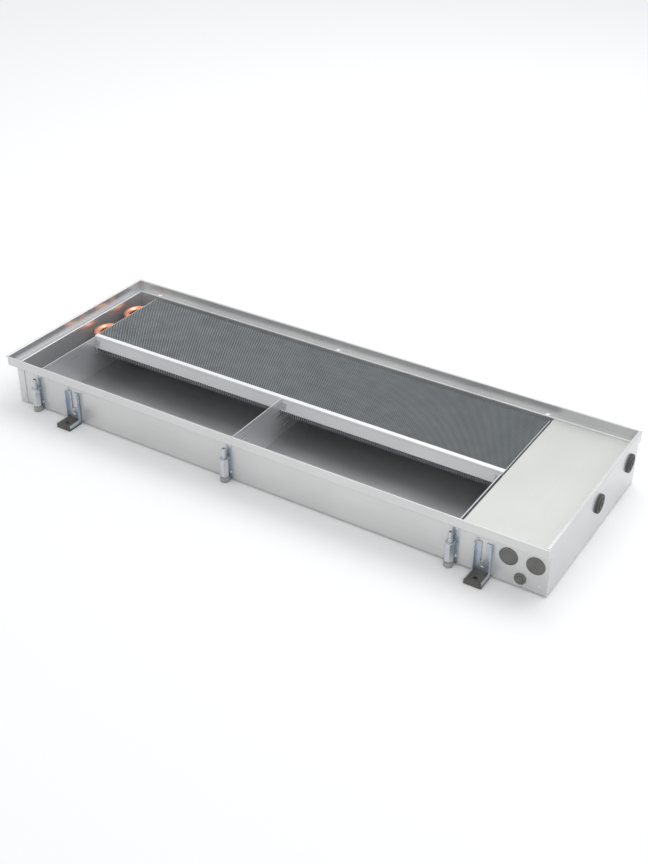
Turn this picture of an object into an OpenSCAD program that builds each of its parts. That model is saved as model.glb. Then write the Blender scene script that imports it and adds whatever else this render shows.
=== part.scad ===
// Trench convector heater: a folded sheet trough that is sunk in a floor. It holds a finned
// water exchanger, a cover over the pipe connections, levelling jacks and floor anchors.
// Units are millimetres. X runs along the trough, Y from front to rear and Z up.
// The origin is the middle of the part at floor level.

/* [Trough] */
// Outside length between the end walls
length = 1000; // [800:10:1400]
// Outside width between the long walls
width = 340; // [320:5:460]
// Height of the trough from its underside to its top flange
height = 90; // [85:1:130]
// Sheet thickness of the trough, plates and partitions
sheet = 1.25; // [0.8:0.05:1.6]
// Depth of the grille recess, from the top flange down to the ledge
rim_depth = 17; // [14:0.5:22]
// Width of the ledge outside the wall
ledge_width = 10; // [9.5:0.25:14]
// Width of the small flange outside the rim
flange_width = 2; // [1:0.25:4]
// Height of the trough's underside over the floor
floor_gap = 1.5; // [1:0.25:3]
// Width of the left end plate's laps over the long walls
lap_width = 16; // [14:1:24]
// Width of the right end plate's narrow top band
top_band = 5.25; // [4:0.25:10]

/* [Partitions and deflector] */
// Outside face of the left wall to the left partition
left_bay = 46; // [44:1:80]
// Outside face of the right wall to the right partition
connection_bay = 146; // [140:1:200]
// Top of the partitions below the ledge
partition_drop = 1.5; // [1:0.25:4]
// Width of the tab that holds a partition to the deflector
tab_width = 10; // [8:0.5:14]
// Width of the deflector's top flange
deflector_top = 8.5; // [7:0.5:12]
// Height of the deflector's upright band
deflector_band = 4.5; // [3:0.25:6]
// Height of the deflector's sloping face
deflector_face = 16.5; // [14:0.5:20]
// Reach of the sloping face's foot in front of the upright band
deflector_slope = 4; // [1.5:0.25:6]

/* [Exchanger] */
// Depth of the fins from front to rear
fin_depth = 176; // [172:1:190]
// Height of the fins
fin_height = 33; // [30:0.5:36]
// Distance from one fin to the next
fin_pitch = 4; // [3:0.25:8]
// Thickness of a fin
fin_thickness = 0.4; // [0.2:0.05:0.6]
// Top of the fins below the ledge
fin_drop = 1.25; // [1:0.25:4]
// Outside face of the rear wall to the fins
rear_clearance = 10; // [8:0.5:16]
// Outside diameter of the copper tubes
tube_diameter = 15; // [12:0.5:16]
// Wall of the copper tubes
tube_wall = 1; // [0.7:0.1:1.5]
// Distance from one tube to the next
tube_pitch = 42.5; // [38:0.5:44]
// Length of the left tube ends outside the fins
left_stub = 8; // [6:0.5:10]
// Length of the right tube ends up to the right bend
right_stub = 25; // [20:1:32]
// Length of the supply and return tubes outside the fins
connector_stub = 60; // [50:1:70]
// Thread bore diameter of the pipe connectors
connector_bore = 18.6; // [14:0.1:19]
// Width across the flats of the pipe connectors
connector_flats = 24; // [23:0.5:26]

/* [Cover] */
// Thickness of the cover
cover_sheet = 1.5; // [1:0.1:2]
// Top of the cover below the ledge
cover_drop = 1; // [0.5:0.25:2]
// Gap between the exchanger and the cover
cover_gap = 2.25; // [2:0.25:6]
// Gap between the cover and the long walls
cover_fit = 0.5; // [0.3:0.1:1.5]
// Height of the cover's folded edge
cover_fold = 7.5; // [5:0.5:8]

/* [Entries] */
// Outside diameter of the pipe grommets
grommet_diameter = 31; // [28:0.5:34]
// Thickness of a grommet outside the wall
grommet_proud = 4; // [3:0.25:6]
// Diameter of the large blanking caps
cap_diameter = 29; // [26:0.5:32]
// Right wall to the nearer blanking cap
cap_inset = 21; // [20:0.5:26]
// Distance between the blanking caps
cap_pitch = 41.7; // [38:0.1:46]
// Height of the blanking caps over the floor
cap_height = 49; // [46:0.5:52]
// Diameter of the cable gland
gland_diameter = 18.4; // [16:0.2:20]
// Height of the cable gland over the floor
gland_height = 17.7; // [15:0.1:20]

/* [Jacks] */
// Left wall to the first jack
jack_first = 47; // [40:1:60]
// Right wall to the last jack
jack_last = 151; // [146:1:200]
// Shift of the rear jacks along the trough
rear_jack_shift = -5; // [-8:1:0]
// Travel of a jack's foot
jack_travel = 25; // [10:1:28]
// Distance of a jack's axis from the wall
jack_offset = 8.1; // [8.1:0.05:9]
// Width across the flats of a jack's long nut
sleeve_flats = 13; // [12:0.1:13]
// Diameter of a jack's spindle
spindle_diameter = 8; // [6:0.5:8]
// Width across the flats of the key socket in a spindle
key_flats = 3; // [2:0.5:4]
// Diameter of a jack's foot
foot_diameter = 15.5; // [14:0.25:15.5]
// Height of a jack's foot
foot_height = 9; // [6:0.5:9.5]
// Diameter of the key holes in the ledge
key_hole = 7.5; // [5:0.5:7.5]

/* [Floor anchors] */
// Left wall to the middle of the first floor anchor
anchor_first = 126.5; // [110:0.5:160]
// Right wall to the middle of the second floor anchor
anchor_last = 100.5; // [96:0.5:108]
// Width of a floor anchor
anchor_width = 28; // [24:0.5:32]
// Height of a floor anchor
anchor_height = 58.5; // [50:0.5:62]
// Reach of a floor anchor from the wall
anchor_reach = 32.5; // [32:0.5:50]
// Sheet thickness of a floor anchor
anchor_sheet = 2; // [1.5:0.1:2.5]
// Width of the slot for the clamp stud
slot_width = 7.5; // [6.5:0.25:8]
// Diameter of the clamp stud
clamp_diameter = 6; // [5:0.5:6]
// Diameter of the floor screw hole
floor_hole = 6.5; // [5:0.5:8]

/* [Hidden] */
$fn = 48;

// One overrun for all cuts, the running fit of a shaft in a hole, and the gap under a loose face.
cut = 1;
running_fit = 0.05;
face_gap = 0.1;

// Heights of the trough.
z_under = floor_gap;
z_floor = z_under + sheet;
z_top = z_under + height;
z_ledge = z_top - rim_depth;

// The part is centred over its outermost faces: the left flange and the right grommets.
boss_proud = 1.5;
rim_reach = ledge_width + flange_width;
end_reach = grommet_proud + boss_proud;
x_left = -(length + rim_reach + end_reach) / 2 + rim_reach;
x_right = x_left + length;
y_wall = width / 2;
y_inner = y_wall - sheet;

// The left end plate's laps end just under the ledge.
lap_gap = 0.5;

// Rivets: head, shank and inner tail.
rivet_head = 2.6;
rivet_top_share = 0.6;
rivet_proud = 1.3;
rivet_shank = 1.6;
rivet_tail = 2.2;
rivet_edge = 9.5;
rivet_low = 15.5;
rivet_drop = 8;
rivet_high = z_ledge - rivet_drop;

// The right end plate is fixed by short tabs inside the long walls.
end_tab_width = 18;
end_tab_height = 12;
end_rivet_edge = 13;

// Exchanger, from its rear clearance forward.
y_fin_rear = y_wall - rear_clearance;
y_fin_front = y_fin_rear - fin_depth;
z_fin_top = z_ledge - fin_drop;
z_fin_low = z_fin_top - fin_height;
z_tube = (z_fin_top + z_fin_low) / 2;
y_tube_mid = (y_fin_front + y_fin_rear) / 2;
tube_radius = tube_diameter / 2;
tube_count = 4;
tube_y = [for (i = [0 : tube_count - 1]) y_tube_mid + (i - (tube_count - 1) / 2) * tube_pitch];

// Places along the trough.
x_part_left = x_left + left_bay;
x_part_right = x_right - connection_bay - sheet;
x_part_mid = (x_part_left + x_part_right) / 2;
exchanger_lead = 1;
x_fin_left = x_part_left - exchanger_lead;
x_fin_right = x_part_right + sheet;
x_tube_left = x_fin_left - sheet - left_stub;
x_bend_right = x_fin_right + sheet + right_stub;
x_connector = x_fin_right + sheet + connector_stub;

// Deflector, just in front of the fins.
deflector_gap = 0.25;
y_band = y_fin_front - deflector_gap - sheet;
y_foot = y_band - deflector_slope;
z_deflector = z_fin_top + sheet;
z_face_top = z_deflector - sheet - deflector_band;
z_face_low = z_face_top - deflector_face;
tab_height = 11;
tab_edge = 2;

// Rail that carries the rear of the exchanger.
rail_reach = 15;
rail_drop = 8;
rail_rivet_inset = 60;
rail_rivet_x = [x_fin_left + rail_rivet_inset, x_fin_right - rail_rivet_inset];
z_rail_rivet = z_fin_low - rail_drop / 2;
z_partition = z_ledge - partition_drop;

// Collars of the fins around the tubes, and the braze collars on the tube ends.
collar_wall = 0.7;
braze_wall = 0.8;
braze_length = 4;

// Connectors: solder socket, hexagon and thread bore.
socket_length = 14;
socket_wall = 1.6;
hex_length = 22;
thread_depth = 15;
vent_radius = 4.5;
vent_length = 10;
vent_bore = 2.5;
vent_head = 3.4;
vent_head_height = 2.5;
vent_slot_width = 1;
vent_slot_depth = 1.2;
bleed_radius = 1.2;
x_vent = x_connector + hex_length / 2;
y_vent = tube_y[0] - connector_flats / 2;

// Cover and its supports. Its right edge keeps clear of the end plate while it tilts.
cover_swing = 0.3;
x_cover = x_fin_right + sheet + cover_gap;
x_cover_end = x_right - sheet - cover_sheet - cover_swing;
z_cover = z_ledge - cover_drop;
z_support = z_cover - cover_sheet;
support_width = 14;
support_reach = 12;
support_drop = 14;
support_inset = 1.5;
support_rivet_drop = 5;
fold_gap = 3;
x_support = x_cover + cover_sheet + support_inset;
z_support_rivet = z_support - support_rivet_drop;

// Entries.
grommet_neck = 2.8;
grommet_inner = 2;
grommet_lip = 1.6;
grommet_boss = 8.5;
grommet_groove = 2;
grommet_hole = 2.5;
cap_proud = 1.2;
cap_plug = 1.5;
cap_rim = 1.6;
gland_proud = 2.5;
gland_boss = 5.4;
gland_boss_proud = 1;
gland_neck = 2.2;

// Jack brackets, shelves, long nuts and spindles, measured from the wall and the jack's axis.
jack_sheet = 1.2;
jack_plate_left = 8;
jack_plate_right = 11;
jack_plate_top = 44;
jack_shoulder = 5;
jack_tongue_left = 0.5;
jack_tongue_right = 9.5;
jack_tongue_top = 68.5;
foot_gap = 0.3;
notch_half = sqrt(max(0, pow(foot_diameter / 2 + foot_gap, 2) - pow(jack_offset - jack_sheet, 2)));
sleeve_gap = 1.5;
sleeve_low = foot_height + sleeve_gap;
sleeve_top = 43;
shelf_thickness = 1.5;
shelf_lip = 5.5;
spindle_low = 3;
spindle_top = 61.5;
key_depth = 6;
foot_chamfer = 1;
key_hole_edge = 0.25;
key_hole_offset = ledge_width - sheet - key_hole_edge - key_hole / 2;
jack_rivet_low = 16;
jack_rivet_high = 65;
jack_rivet_x = 6.75;

// Floor anchors, measured from the wall.
anchor_gap = 0.3;
anchor_low = 2;
anchor_flange = 7.5;
anchor_foot_flange = 7;
pad_wrap = 2.5;
pad_top = 4.5;
slot_low = 21;
dimple_radius = 3;
dimple_proud = 1;
dimple_height = 14;
floor_hole_y = 22;
clamp_proud = 0.5;
nut_flats = 10;
nut_height = 5;
stop_radius = 2.2;
stop_proud = 1.8;
stop_shift = -10.5;
stop_gap = 0.3;
clamp_height = slot_low + slot_width / 2;
anchor_x = [x_left + anchor_first, x_right - anchor_last];
x_jack_first = x_left + jack_first;
x_jack_last = x_right - jack_last;
jack_x = [x_jack_first, (x_jack_first + x_jack_last) / 2, x_jack_last];

// Axes of the caps, gland and grommets.
cap_x = [x_right - cap_inset, x_right - cap_inset - cap_pitch];
gland_x = x_right - cap_inset - cap_pitch / 2;
grommet_y = [tube_y[0], tube_y[tube_count - 1]];

// The right end plate's rivets keep clear of the nearer cap.
cap_rivet_gap = 0.4;
cap_clear = cap_diameter / 2 + rivet_head + cap_rivet_gap;
function end_rivet_x(z) = max(x_right - end_rivet_edge,
    cap_x[0] + sqrt(max(0, pow(cap_clear, 2) - pow(z - cap_height, 2))));

// Which sub-part to draw

// Helpers

// Box from one corner to the opposite corner.
module block(low, high) {
    translate(low)
        cube(high - low);
}

// Children drawn on the front wall, and mirrored on the rear wall.
module both_walls() {
    children();
    mirror([0, 1, 0])
        children();
}

// Children drawn with the wall's outside face at Y = 0 and outward as -Y. Side -1 is the front.
module on_wall(x, side) {
    translate([x, side * y_wall, 0])
        mirror([0, side > 0 ? 1 : 0, 0])
            children();
}

// Cylinder along Y from one place to another.
module rod_y(x, z, from, to, radius) {
    translate([x, from, z])
        rotate([-90, 0, 0])
            cylinder(h = to - from, r = radius);
}

// Cylinder along X from one place to another.
module rod_x(y, z, from, to, radius) {
    translate([from, y, z])
        rotate([0, 90, 0])
            cylinder(h = to - from, r = radius);
}

// Rivet along Y: its head stands on the face at y and its shank goes through the grip.
// Its tail stands on the far face, or is set flush there.
module rivet(x, z, y, grip, flush = false) {
    translate([x, y, z])
        rotate([-90, 0, 0]) {
            translate([0, 0, -rivet_proud])
                cylinder(h = rivet_proud, r1 = rivet_head * rivet_top_share, r2 = rivet_head);
            cylinder(h = grip, r = rivet_shank);
            if (!flush)
                translate([0, 0, grip])
                    cylinder(h = rivet_proud / 2, r = rivet_tail);
        }
}

// Hole for a rivet's shank through the front wall and what lies on it.
module rivet_hole(x, z, y, grip) {
    rod_y(x, z, y - cut, y + grip + cut, rivet_shank);
}

// Half turn of tube between two neighbouring tubes. It opens towards +X.
module return_bend(x, y) {
    translate([x, y, z_tube])
        rotate([0, 0, 90])
            rotate_extrude(angle = 180)
                translate([tube_pitch / 2, 0])
                    difference() {
                        circle(r = tube_radius);
                        circle(r = tube_radius - tube_wall);
                    }
}

// Trough

// Half of the trough's section in Y and Z, from the middle of the floor to the top flange.
module trough_half_section() {
    translate([0, z_under])
        square([y_wall, sheet]);
    translate([y_inner, z_under])
        square([sheet, z_ledge - z_under]);
    translate([y_inner, z_ledge - sheet])
        square([ledge_width + sheet, sheet]);
    translate([y_wall + ledge_width - sheet, z_ledge - sheet])
        square([sheet, rim_depth + sheet]);
    translate([y_wall + ledge_width - sheet, z_top - sheet])
        square([sheet + flange_width, sheet]);
}

module trough_section() {
    trough_half_section();
    mirror([1, 0])
        trough_half_section();
}

// Key hole through the ledge, between the wall and the foot of the rim.
module key_hole_cut() {
    translate([0, -key_hole_offset, z_ledge - sheet - cut])
        cylinder(h = sheet + 2 * cut, d = key_hole);
}

module trough_pan() color([0.78, 0.79, 0.8]) {
    difference() {
        translate([x_left, 0, 0])
            rotate([90, 0, 90])
                linear_extrude(length - sheet)
                    trough_section();
        // The left end plate stands inside the ends of the floor and walls.
        block([x_left - cut, -y_wall - cut, z_under - cut],
            [x_left + sheet, y_wall + cut, z_ledge - sheet]);
        block([x_left - cut, -y_wall, z_under],
            [x_left + sheet, y_wall, z_ledge]);
        for (x = jack_x) {
            on_wall(x, -1)
                key_hole_cut();
            on_wall(x + rear_jack_shift, 1)
                key_hole_cut();
        }
        for (x = anchor_x)
            both_walls() {
                rod_y(x, clamp_height, -y_wall - cut, -y_inner + cut, clamp_diameter / 2);
                rod_y(x + stop_shift, anchor_height + stop_gap + stop_radius,
                    -y_wall - cut, -y_inner + cut, rivet_shank);
            }
        for (z = [rivet_low, rivet_high])
            both_walls() {
                rivet_hole(x_left + rivet_edge, z, -y_wall, sheet);
                rivet_hole(end_rivet_x(z), z, -y_wall, sheet);
            }
        both_walls()
            rivet_hole(x_support + support_width / 2, z_support_rivet, -y_wall, sheet);
        for (x = rail_rivet_x)
            rod_y(x, z_rail_rivet, y_inner - cut, y_wall + cut, rivet_shank);
        for (x = jack_x)
            for (z = [jack_rivet_low, jack_rivet_high]) {
                rivet_hole(x + jack_rivet_x, z, -y_wall, sheet);
                rod_y(x + rear_jack_shift + jack_rivet_x, z, y_inner - cut, y_wall + cut,
                    rivet_shank);
            }
        for (x = cap_x)
            rod_y(x, cap_height, -y_wall - cut, -y_inner + cut, cap_diameter / 2 - cap_plug);
        rod_y(gland_x, gland_height, -y_wall - cut, -y_inner + cut,
            gland_diameter / 2 - gland_neck);
    }
}

module left_end_plate() color([0.78, 0.79, 0.8]) {
    rim = y_wall + ledge_width;
    x_rim = x_left - ledge_width;
    difference() {
        union() {
            // Wall, ledge, rim and top flange.
            block([x_left, -y_wall, z_under], [x_left + sheet, y_wall, z_ledge]);
            block([x_rim, -rim, z_ledge - sheet], [x_left, rim, z_ledge]);
            block([x_rim, -rim, z_ledge - sheet], [x_rim + sheet, rim, z_top]);
            block([x_rim - flange_width, -rim - flange_width, z_top - sheet],
                [x_rim + sheet, rim + flange_width, z_top]);
            // Short returns of the rim, and the laps over the long walls.
            both_walls() {
                block([x_rim, -rim, z_ledge - sheet], [x_left, -rim + sheet, z_top]);
                block([x_rim, -rim - flange_width, z_top - sheet],
                    [x_left, -rim + sheet, z_top]);
                block([x_left, -y_wall - sheet, z_under],
                    [x_left + lap_width, -y_wall, z_ledge - sheet - lap_gap]);
            }
        }
        both_walls()
            for (z = [rivet_low, rivet_high])
                rivet_hole(x_left + rivet_edge, z, -y_wall - sheet, sheet);
    }
}

module right_end_plate() color([0.78, 0.79, 0.8]) {
    rim = y_wall + ledge_width;
    difference() {
        union() {
            block([x_right - sheet, -y_wall, z_under], [x_right, y_wall, z_top]);
            block([x_right - sheet, -rim, z_ledge - sheet], [x_right, rim, z_top]);
            block([x_right - sheet, -rim - flange_width, z_top - sheet],
                [x_right, rim + flange_width, z_top]);
            block([x_right - top_band, -rim + sheet, z_top - sheet],
                [x_right, rim - sheet, z_top]);
            both_walls()
                for (z = [rivet_low, rivet_high])
                    block([x_right - sheet - end_tab_width, -y_inner, z - end_tab_height / 2],
                        [x_right - sheet, -y_inner + sheet, z == rivet_high
                            ? z_support : z + end_tab_height / 2]);
        }
        for (y = grommet_y)
            rod_x(y, z_tube, x_right - sheet - cut, x_right + cut,
                grommet_diameter / 2 - grommet_neck);
        both_walls()
            for (z = [rivet_low, rivet_high])
                rivet_hole(end_rivet_x(z), z, -y_inner, sheet);
        rod_y(cap_x[0], cap_height, -y_inner - cut, -y_inner + sheet + cut,
            cap_diameter / 2);
    }
}

module end_plate_rivets() color([0.7, 0.7, 0.72]) {
    both_walls()
        for (z = [rivet_low, rivet_high]) {
            rivet(x_left + rivet_edge, z, -y_wall - sheet, 2 * sheet);
            rivet(end_rivet_x(z), z, -y_wall, 2 * sheet);
        }
}

// Partitions and deflector

// Partition across the trough: full height in front, and low enough to carry the fins behind.
// Its edge follows the deflector at a small gap, and a tab lies on the deflector's sloping face.
module partition(x, tab_side) {
    y_rail = y_inner - rail_reach;
    y_edge_low = y_foot - face_gap;
    y_edge_top = y_band - face_gap;
    tab_top_share = tab_edge / deflector_face;
    tab_low_share = (tab_edge + tab_height) / deflector_face;
    translate([x, 0, 0])
        rotate([90, 0, 90]) {
            linear_extrude(sheet)
                polygon([
                    [-y_inner, z_floor],
                    [y_inner, z_floor],
                    [y_inner, z_fin_low - rail_drop],
                    [y_rail, z_fin_low - rail_drop],
                    [y_rail, z_fin_low],
                    [y_edge_low, z_fin_low],
                    [y_edge_low, z_face_low],
                    [y_edge_top, z_face_top],
                    [y_edge_top, z_partition],
                    [-y_inner, z_partition]
                ]);
            translate([0, 0, tab_side > 0 ? 0 : -tab_width])
                linear_extrude(sheet + tab_width)
                    polygon([
                        [y_band - deflector_slope * tab_top_share, z_face_top - tab_edge],
                        [y_band - deflector_slope * tab_low_share,
                            z_face_top - tab_edge - tab_height],
                        [y_band - deflector_slope * tab_low_share - sheet,
                            z_face_top - tab_edge - tab_height],
                        [y_band - deflector_slope * tab_top_share - sheet, z_face_top - tab_edge]
                    ]);
        }
}

module left_partition() color([0.8, 0.81, 0.82]) {
    partition(x_part_left, 1);
}

module middle_partition() color([0.8, 0.81, 0.82]) {
    partition(x_part_mid, 1);
}

module right_partition() color([0.8, 0.81, 0.82]) {
    partition(x_part_right, -1);
}

// One folded strip: a flange over the fins, an upright band and a sloping face.
module deflector() color([0.88, 0.89, 0.9]) {
    translate([x_fin_left, 0, 0])
        rotate([90, 0, 90])
            linear_extrude(x_fin_right + sheet - x_fin_left)
                polygon([
                    [y_band, z_deflector],
                    [y_band, z_face_top],
                    [y_foot, z_face_low],
                    [y_foot + sheet, z_face_low],
                    [y_band + sheet, z_face_top],
                    [y_band + sheet, z_fin_top],
                    [y_band + deflector_top, z_fin_top],
                    [y_band + deflector_top, z_deflector]
                ]);
}

// Rail under the rear of the fins, through the partitions' notches.
module rear_rail() color([0.78, 0.79, 0.8]) {
    difference() {
        union() {
            block([x_fin_left, y_inner - rail_reach, z_fin_low - sheet],
                [x_fin_right, y_inner, z_fin_low]);
            block([x_fin_left, y_inner - sheet, z_fin_low - rail_drop],
                [x_fin_right, y_inner, z_fin_low]);
        }
        for (x = rail_rivet_x)
            rod_y(x, z_rail_rivet, y_inner - sheet - cut, y_wall + cut, rivet_shank);
    }
}

module rail_rivets() color([0.7, 0.7, 0.72]) {
    for (x = rail_rivet_x)
        mirror([0, 1, 0])
            rivet(x, z_rail_rivet, -y_wall, 2 * sheet);
}

// Exchanger

// Thin plates on a common pitch, joined by the collars that hold them on the tubes.
module fin_pack() color([0.42, 0.44, 0.45]) {
    span = x_fin_right - x_fin_left;
    count = floor((span - fin_thickness) / fin_pitch) + 1;
    start = x_fin_left + (span - (count - 1) * fin_pitch - fin_thickness) / 2;
    difference() {
        union() {
            for (i = [0 : count - 1])
                translate([start + i * fin_pitch, y_fin_front, z_fin_low])
                    cube([fin_thickness, fin_depth, fin_height]);
            for (y = tube_y)
                rod_x(y, z_tube, x_fin_left, x_fin_right, tube_radius + collar_wall);
        }
        for (y = tube_y)
            rod_x(y, z_tube, x_fin_left - cut, x_fin_right + cut, tube_radius);
    }
}

module exchanger_end_plates() color([0.6, 0.61, 0.62]) {
    for (x = [x_fin_left - sheet, x_fin_right])
        difference() {
            block([x, y_fin_front, z_fin_low], [x + sheet, y_fin_rear, z_fin_top]);
            for (y = tube_y)
                rod_x(y, z_tube, x - cut, x + sheet + cut, tube_radius);
        }
}

// Tube with a braze collar at each end that meets a bend.
module heat_tube(y, x_end, right_collar) {
    difference() {
        union() {
            rod_x(y, z_tube, x_tube_left, x_end, tube_radius);
            rod_x(y, z_tube, x_tube_left, x_tube_left + braze_length, tube_radius + braze_wall);
            if (right_collar)
                rod_x(y, z_tube, x_end - braze_length, x_end, tube_radius + braze_wall);
        }
        rod_x(y, z_tube, x_tube_left - cut, x_end + cut, tube_radius - tube_wall);
    }
}

module heat_tubes() color([0.85, 0.5, 0.36]) {
    heat_tube(tube_y[0], x_connector, false);
    heat_tube(tube_y[1], x_bend_right, true);
    heat_tube(tube_y[2], x_bend_right, true);
    heat_tube(tube_y[3], x_connector, false);
}

module left_return_bends() color([0.85, 0.5, 0.36]) {
    return_bend(x_tube_left, (tube_y[0] + tube_y[1]) / 2);
    return_bend(x_tube_left, (tube_y[2] + tube_y[3]) / 2);
}

module right_return_bend() color([0.85, 0.5, 0.36]) {
    translate([x_bend_right, 0, 0])
        mirror([1, 0, 0])
            return_bend(0, (tube_y[1] + tube_y[2]) / 2);
}

// Connector: a socket soldered over the tube's end, then a hexagon with the thread bore.
module connector(y) {
    x_hex = x_connector;
    difference() {
        union() {
            rod_x(y, z_tube, x_connector - socket_length, x_hex + cut, tube_radius + socket_wall);
            translate([x_hex, y, z_tube])
                rotate([0, 90, 0])
                    cylinder(h = hex_length, d = connector_flats / cos(30), $fn = 6);
        }
        rod_x(y, z_tube, x_connector - socket_length - cut, x_connector, tube_radius);
        rod_x(y, z_tube, x_connector - cut, x_hex + hex_length, tube_radius - tube_wall);
        rod_x(y, z_tube, x_hex + hex_length - thread_depth, x_hex + hex_length + cut,
            connector_bore / 2);
    }
}

// The vent stands on the front flat of this connector.
module supply_connector() color([0.83, 0.7, 0.38]) {
    difference() {
        connector(tube_y[0]);
        rod_y(x_vent, z_tube, y_vent - cut, tube_y[0], bleed_radius);
    }
}

module return_connector() color([0.83, 0.7, 0.38]) {
    connector(tube_y[tube_count - 1]);
}

module vent_body() color([0.83, 0.7, 0.38]) {
    difference() {
        rod_y(x_vent, z_tube, y_vent - vent_length, y_vent, vent_radius);
        rod_y(x_vent, z_tube, y_vent - vent_length - cut, y_vent + cut, vent_bore + running_fit);
    }
}

module vent_screw() color([0.75, 0.76, 0.78]) {
    y_head = y_vent - vent_length - face_gap;
    difference() {
        union() {
            rod_y(x_vent, z_tube, y_head, y_vent - face_gap, vent_bore);
            rod_y(x_vent, z_tube, y_head - vent_head_height, y_head, vent_head);
        }
        block([x_vent - vent_slot_width / 2, y_head - vent_head_height - cut,
                z_tube - vent_head - cut],
            [x_vent + vent_slot_width / 2, y_head - vent_head_height + vent_slot_depth,
                z_tube + vent_head + cut]);
    }
}

// Cover

// Plate with a stiffening fold down its left edge, between the two supports.
module cover_plate() color([0.9, 0.91, 0.91]) {
    y_edge = y_inner - cover_fit;
    y_fold = y_inner - support_reach - fold_gap;
    block([x_cover, -y_edge, z_support], [x_cover_end, y_edge, z_cover]);
    block([x_cover, -y_fold, z_support - cover_fold], [x_cover + cover_sheet, y_fold, z_cover]);
}

// Two angles on the long walls. The right end plate's upper tabs carry the cover's other end.
module cover_supports() color([0.78, 0.79, 0.8]) {
    both_walls()
        difference() {
            union() {
                block([x_support, -y_inner, z_support - support_drop],
                    [x_support + support_width, -y_inner + sheet, z_support]);
                block([x_support, -y_inner, z_support - sheet],
                    [x_support + support_width, -y_inner + support_reach, z_support]);
            }
            rivet_hole(x_support + support_width / 2, z_support_rivet, -y_inner, sheet);
        }
}

module cover_support_rivets() color([0.7, 0.7, 0.72]) {
    both_walls()
        rivet(x_support + support_width / 2, z_support_rivet, -y_wall, 2 * sheet);
}

// Entries

// Cap with a plug that fills the wall's hole and a raised rim around its face.
module blanking_caps() color([0.4, 0.4, 0.39]) {
    radius = cap_diameter / 2;
    for (x = cap_x)
        difference() {
            union() {
                rod_y(x, cap_height, -y_wall - cap_proud, -y_wall, radius);
                rod_y(x, cap_height, -y_wall, -y_inner + cap_proud, radius - cap_plug);
            }
            rod_y(x, cap_height, -y_wall - cap_proud - cut, -y_wall - cap_proud / 2,
                radius - cap_rim);
        }
}

module cable_gland() color([0.4, 0.4, 0.39]) {
    radius = gland_diameter / 2;
    rod_y(gland_x, gland_height, -y_wall - gland_proud, -y_wall, radius);
    rod_y(gland_x, gland_height, -y_wall - gland_proud - gland_boss_proud, -y_wall, gland_boss);
    rod_y(gland_x, gland_height, -y_wall, -y_inner + gland_proud, radius - gland_neck);
}

// Grommet: outer disc with a groove and a boss, neck in the wall, inner disc and centre hole.
module pipe_grommets() color([0.3, 0.3, 0.3]) {
    radius = grommet_diameter / 2;
    for (y = grommet_y)
        difference() {
            union() {
                rod_x(y, z_tube, x_right, x_right + grommet_proud, radius);
                rod_x(y, z_tube, x_right, x_right + grommet_proud + boss_proud, grommet_boss);
                rod_x(y, z_tube, x_right - sheet, x_right, radius - grommet_neck);
                rod_x(y, z_tube, x_right - sheet - grommet_inner, x_right - sheet,
                    radius - grommet_neck + grommet_lip);
            }
            difference() {
                rod_x(y, z_tube, x_right + grommet_proud - grommet_groove / 2,
                    x_right + grommet_proud + cut, grommet_boss + grommet_groove);
                rod_x(y, z_tube, x_right, x_right + grommet_proud + 2 * cut, grommet_boss);
            }
            rod_x(y, z_tube, x_right - sheet - grommet_inner - cut,
                x_right + grommet_proud + boss_proud + cut, grommet_hole);
        }
}

// Levelling jacks

// Plate on the wall with a narrow tongue, and a shelf over the long nut.
module jack_bracket() {
    shelf_half = sleeve_flats / 2;
    difference() {
        union() {
            rotate([90, 0, 0])
                linear_extrude(jack_sheet)
                    polygon([
                        [-jack_plate_left, z_floor],
                        [jack_plate_right, z_floor],
                        [jack_plate_right, jack_plate_top],
                        [jack_tongue_right, jack_plate_top + jack_shoulder],
                        [jack_tongue_right, jack_tongue_top],
                        [-jack_tongue_left, jack_tongue_top],
                        [-jack_tongue_left, jack_plate_top + jack_shoulder],
                        [-jack_plate_left, jack_plate_top]
                    ]);
            block([-shelf_half, -jack_offset - shelf_lip, sleeve_top],
                [shelf_half, -jack_sheet / 2, sleeve_top + shelf_thickness]);
        }
        translate([0, -jack_offset, sleeve_top - cut])
            cylinder(h = shelf_thickness + 2 * cut, r = spindle_diameter / 2 + running_fit);
        // Notch for the foot, where it stands close to the wall.
        if (notch_half > 0)
            block([-notch_half, -jack_sheet - cut, z_floor - cut], [notch_half, cut, sleeve_low]);
        for (z = [jack_rivet_low, jack_rivet_high])
            rivet_hole(jack_rivet_x, z, -jack_sheet, jack_sheet);
    }
}

// Children drawn at every jack, on both walls.
module at_jacks() {
    for (x = jack_x) {
        on_wall(x, -1)
            children();
        on_wall(x + rear_jack_shift, 1)
            children();
    }
}

module jack_brackets() color([0.66, 0.69, 0.73]) {
    at_jacks()
        jack_bracket();
}

module jack_bracket_rivets() color([0.6, 0.62, 0.65]) {
    at_jacks()
        for (z = [jack_rivet_low, jack_rivet_high])
            rivet(jack_rivet_x, z, -jack_sheet, jack_sheet + sheet, true);
}

module jack_sleeves() color([0.72, 0.74, 0.76]) {
    at_jacks()
        translate([0, -jack_offset, sleeve_low])
            difference() {
                cylinder(h = sleeve_top - sleeve_low, d = sleeve_flats / cos(30), $fn = 6);
                translate([0, 0, -cut])
                    cylinder(h = sleeve_top - sleeve_low + 2 * cut,
                        r = spindle_diameter / 2 + running_fit);
            }
}

// Spindle with a key socket in its upper end.
module jack_spindle(i, side) {
    on_wall(jack_x[i] + (side > 0 ? rear_jack_shift : 0), side)
        translate([0, -jack_offset, 0])
            difference() {
                translate([0, 0, spindle_low])
                    cylinder(h = spindle_top - spindle_low, d = spindle_diameter);
                translate([0, 0, spindle_top - key_depth])
                    cylinder(h = key_depth + cut, d = key_flats / cos(30), $fn = 6);
            }
}

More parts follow.
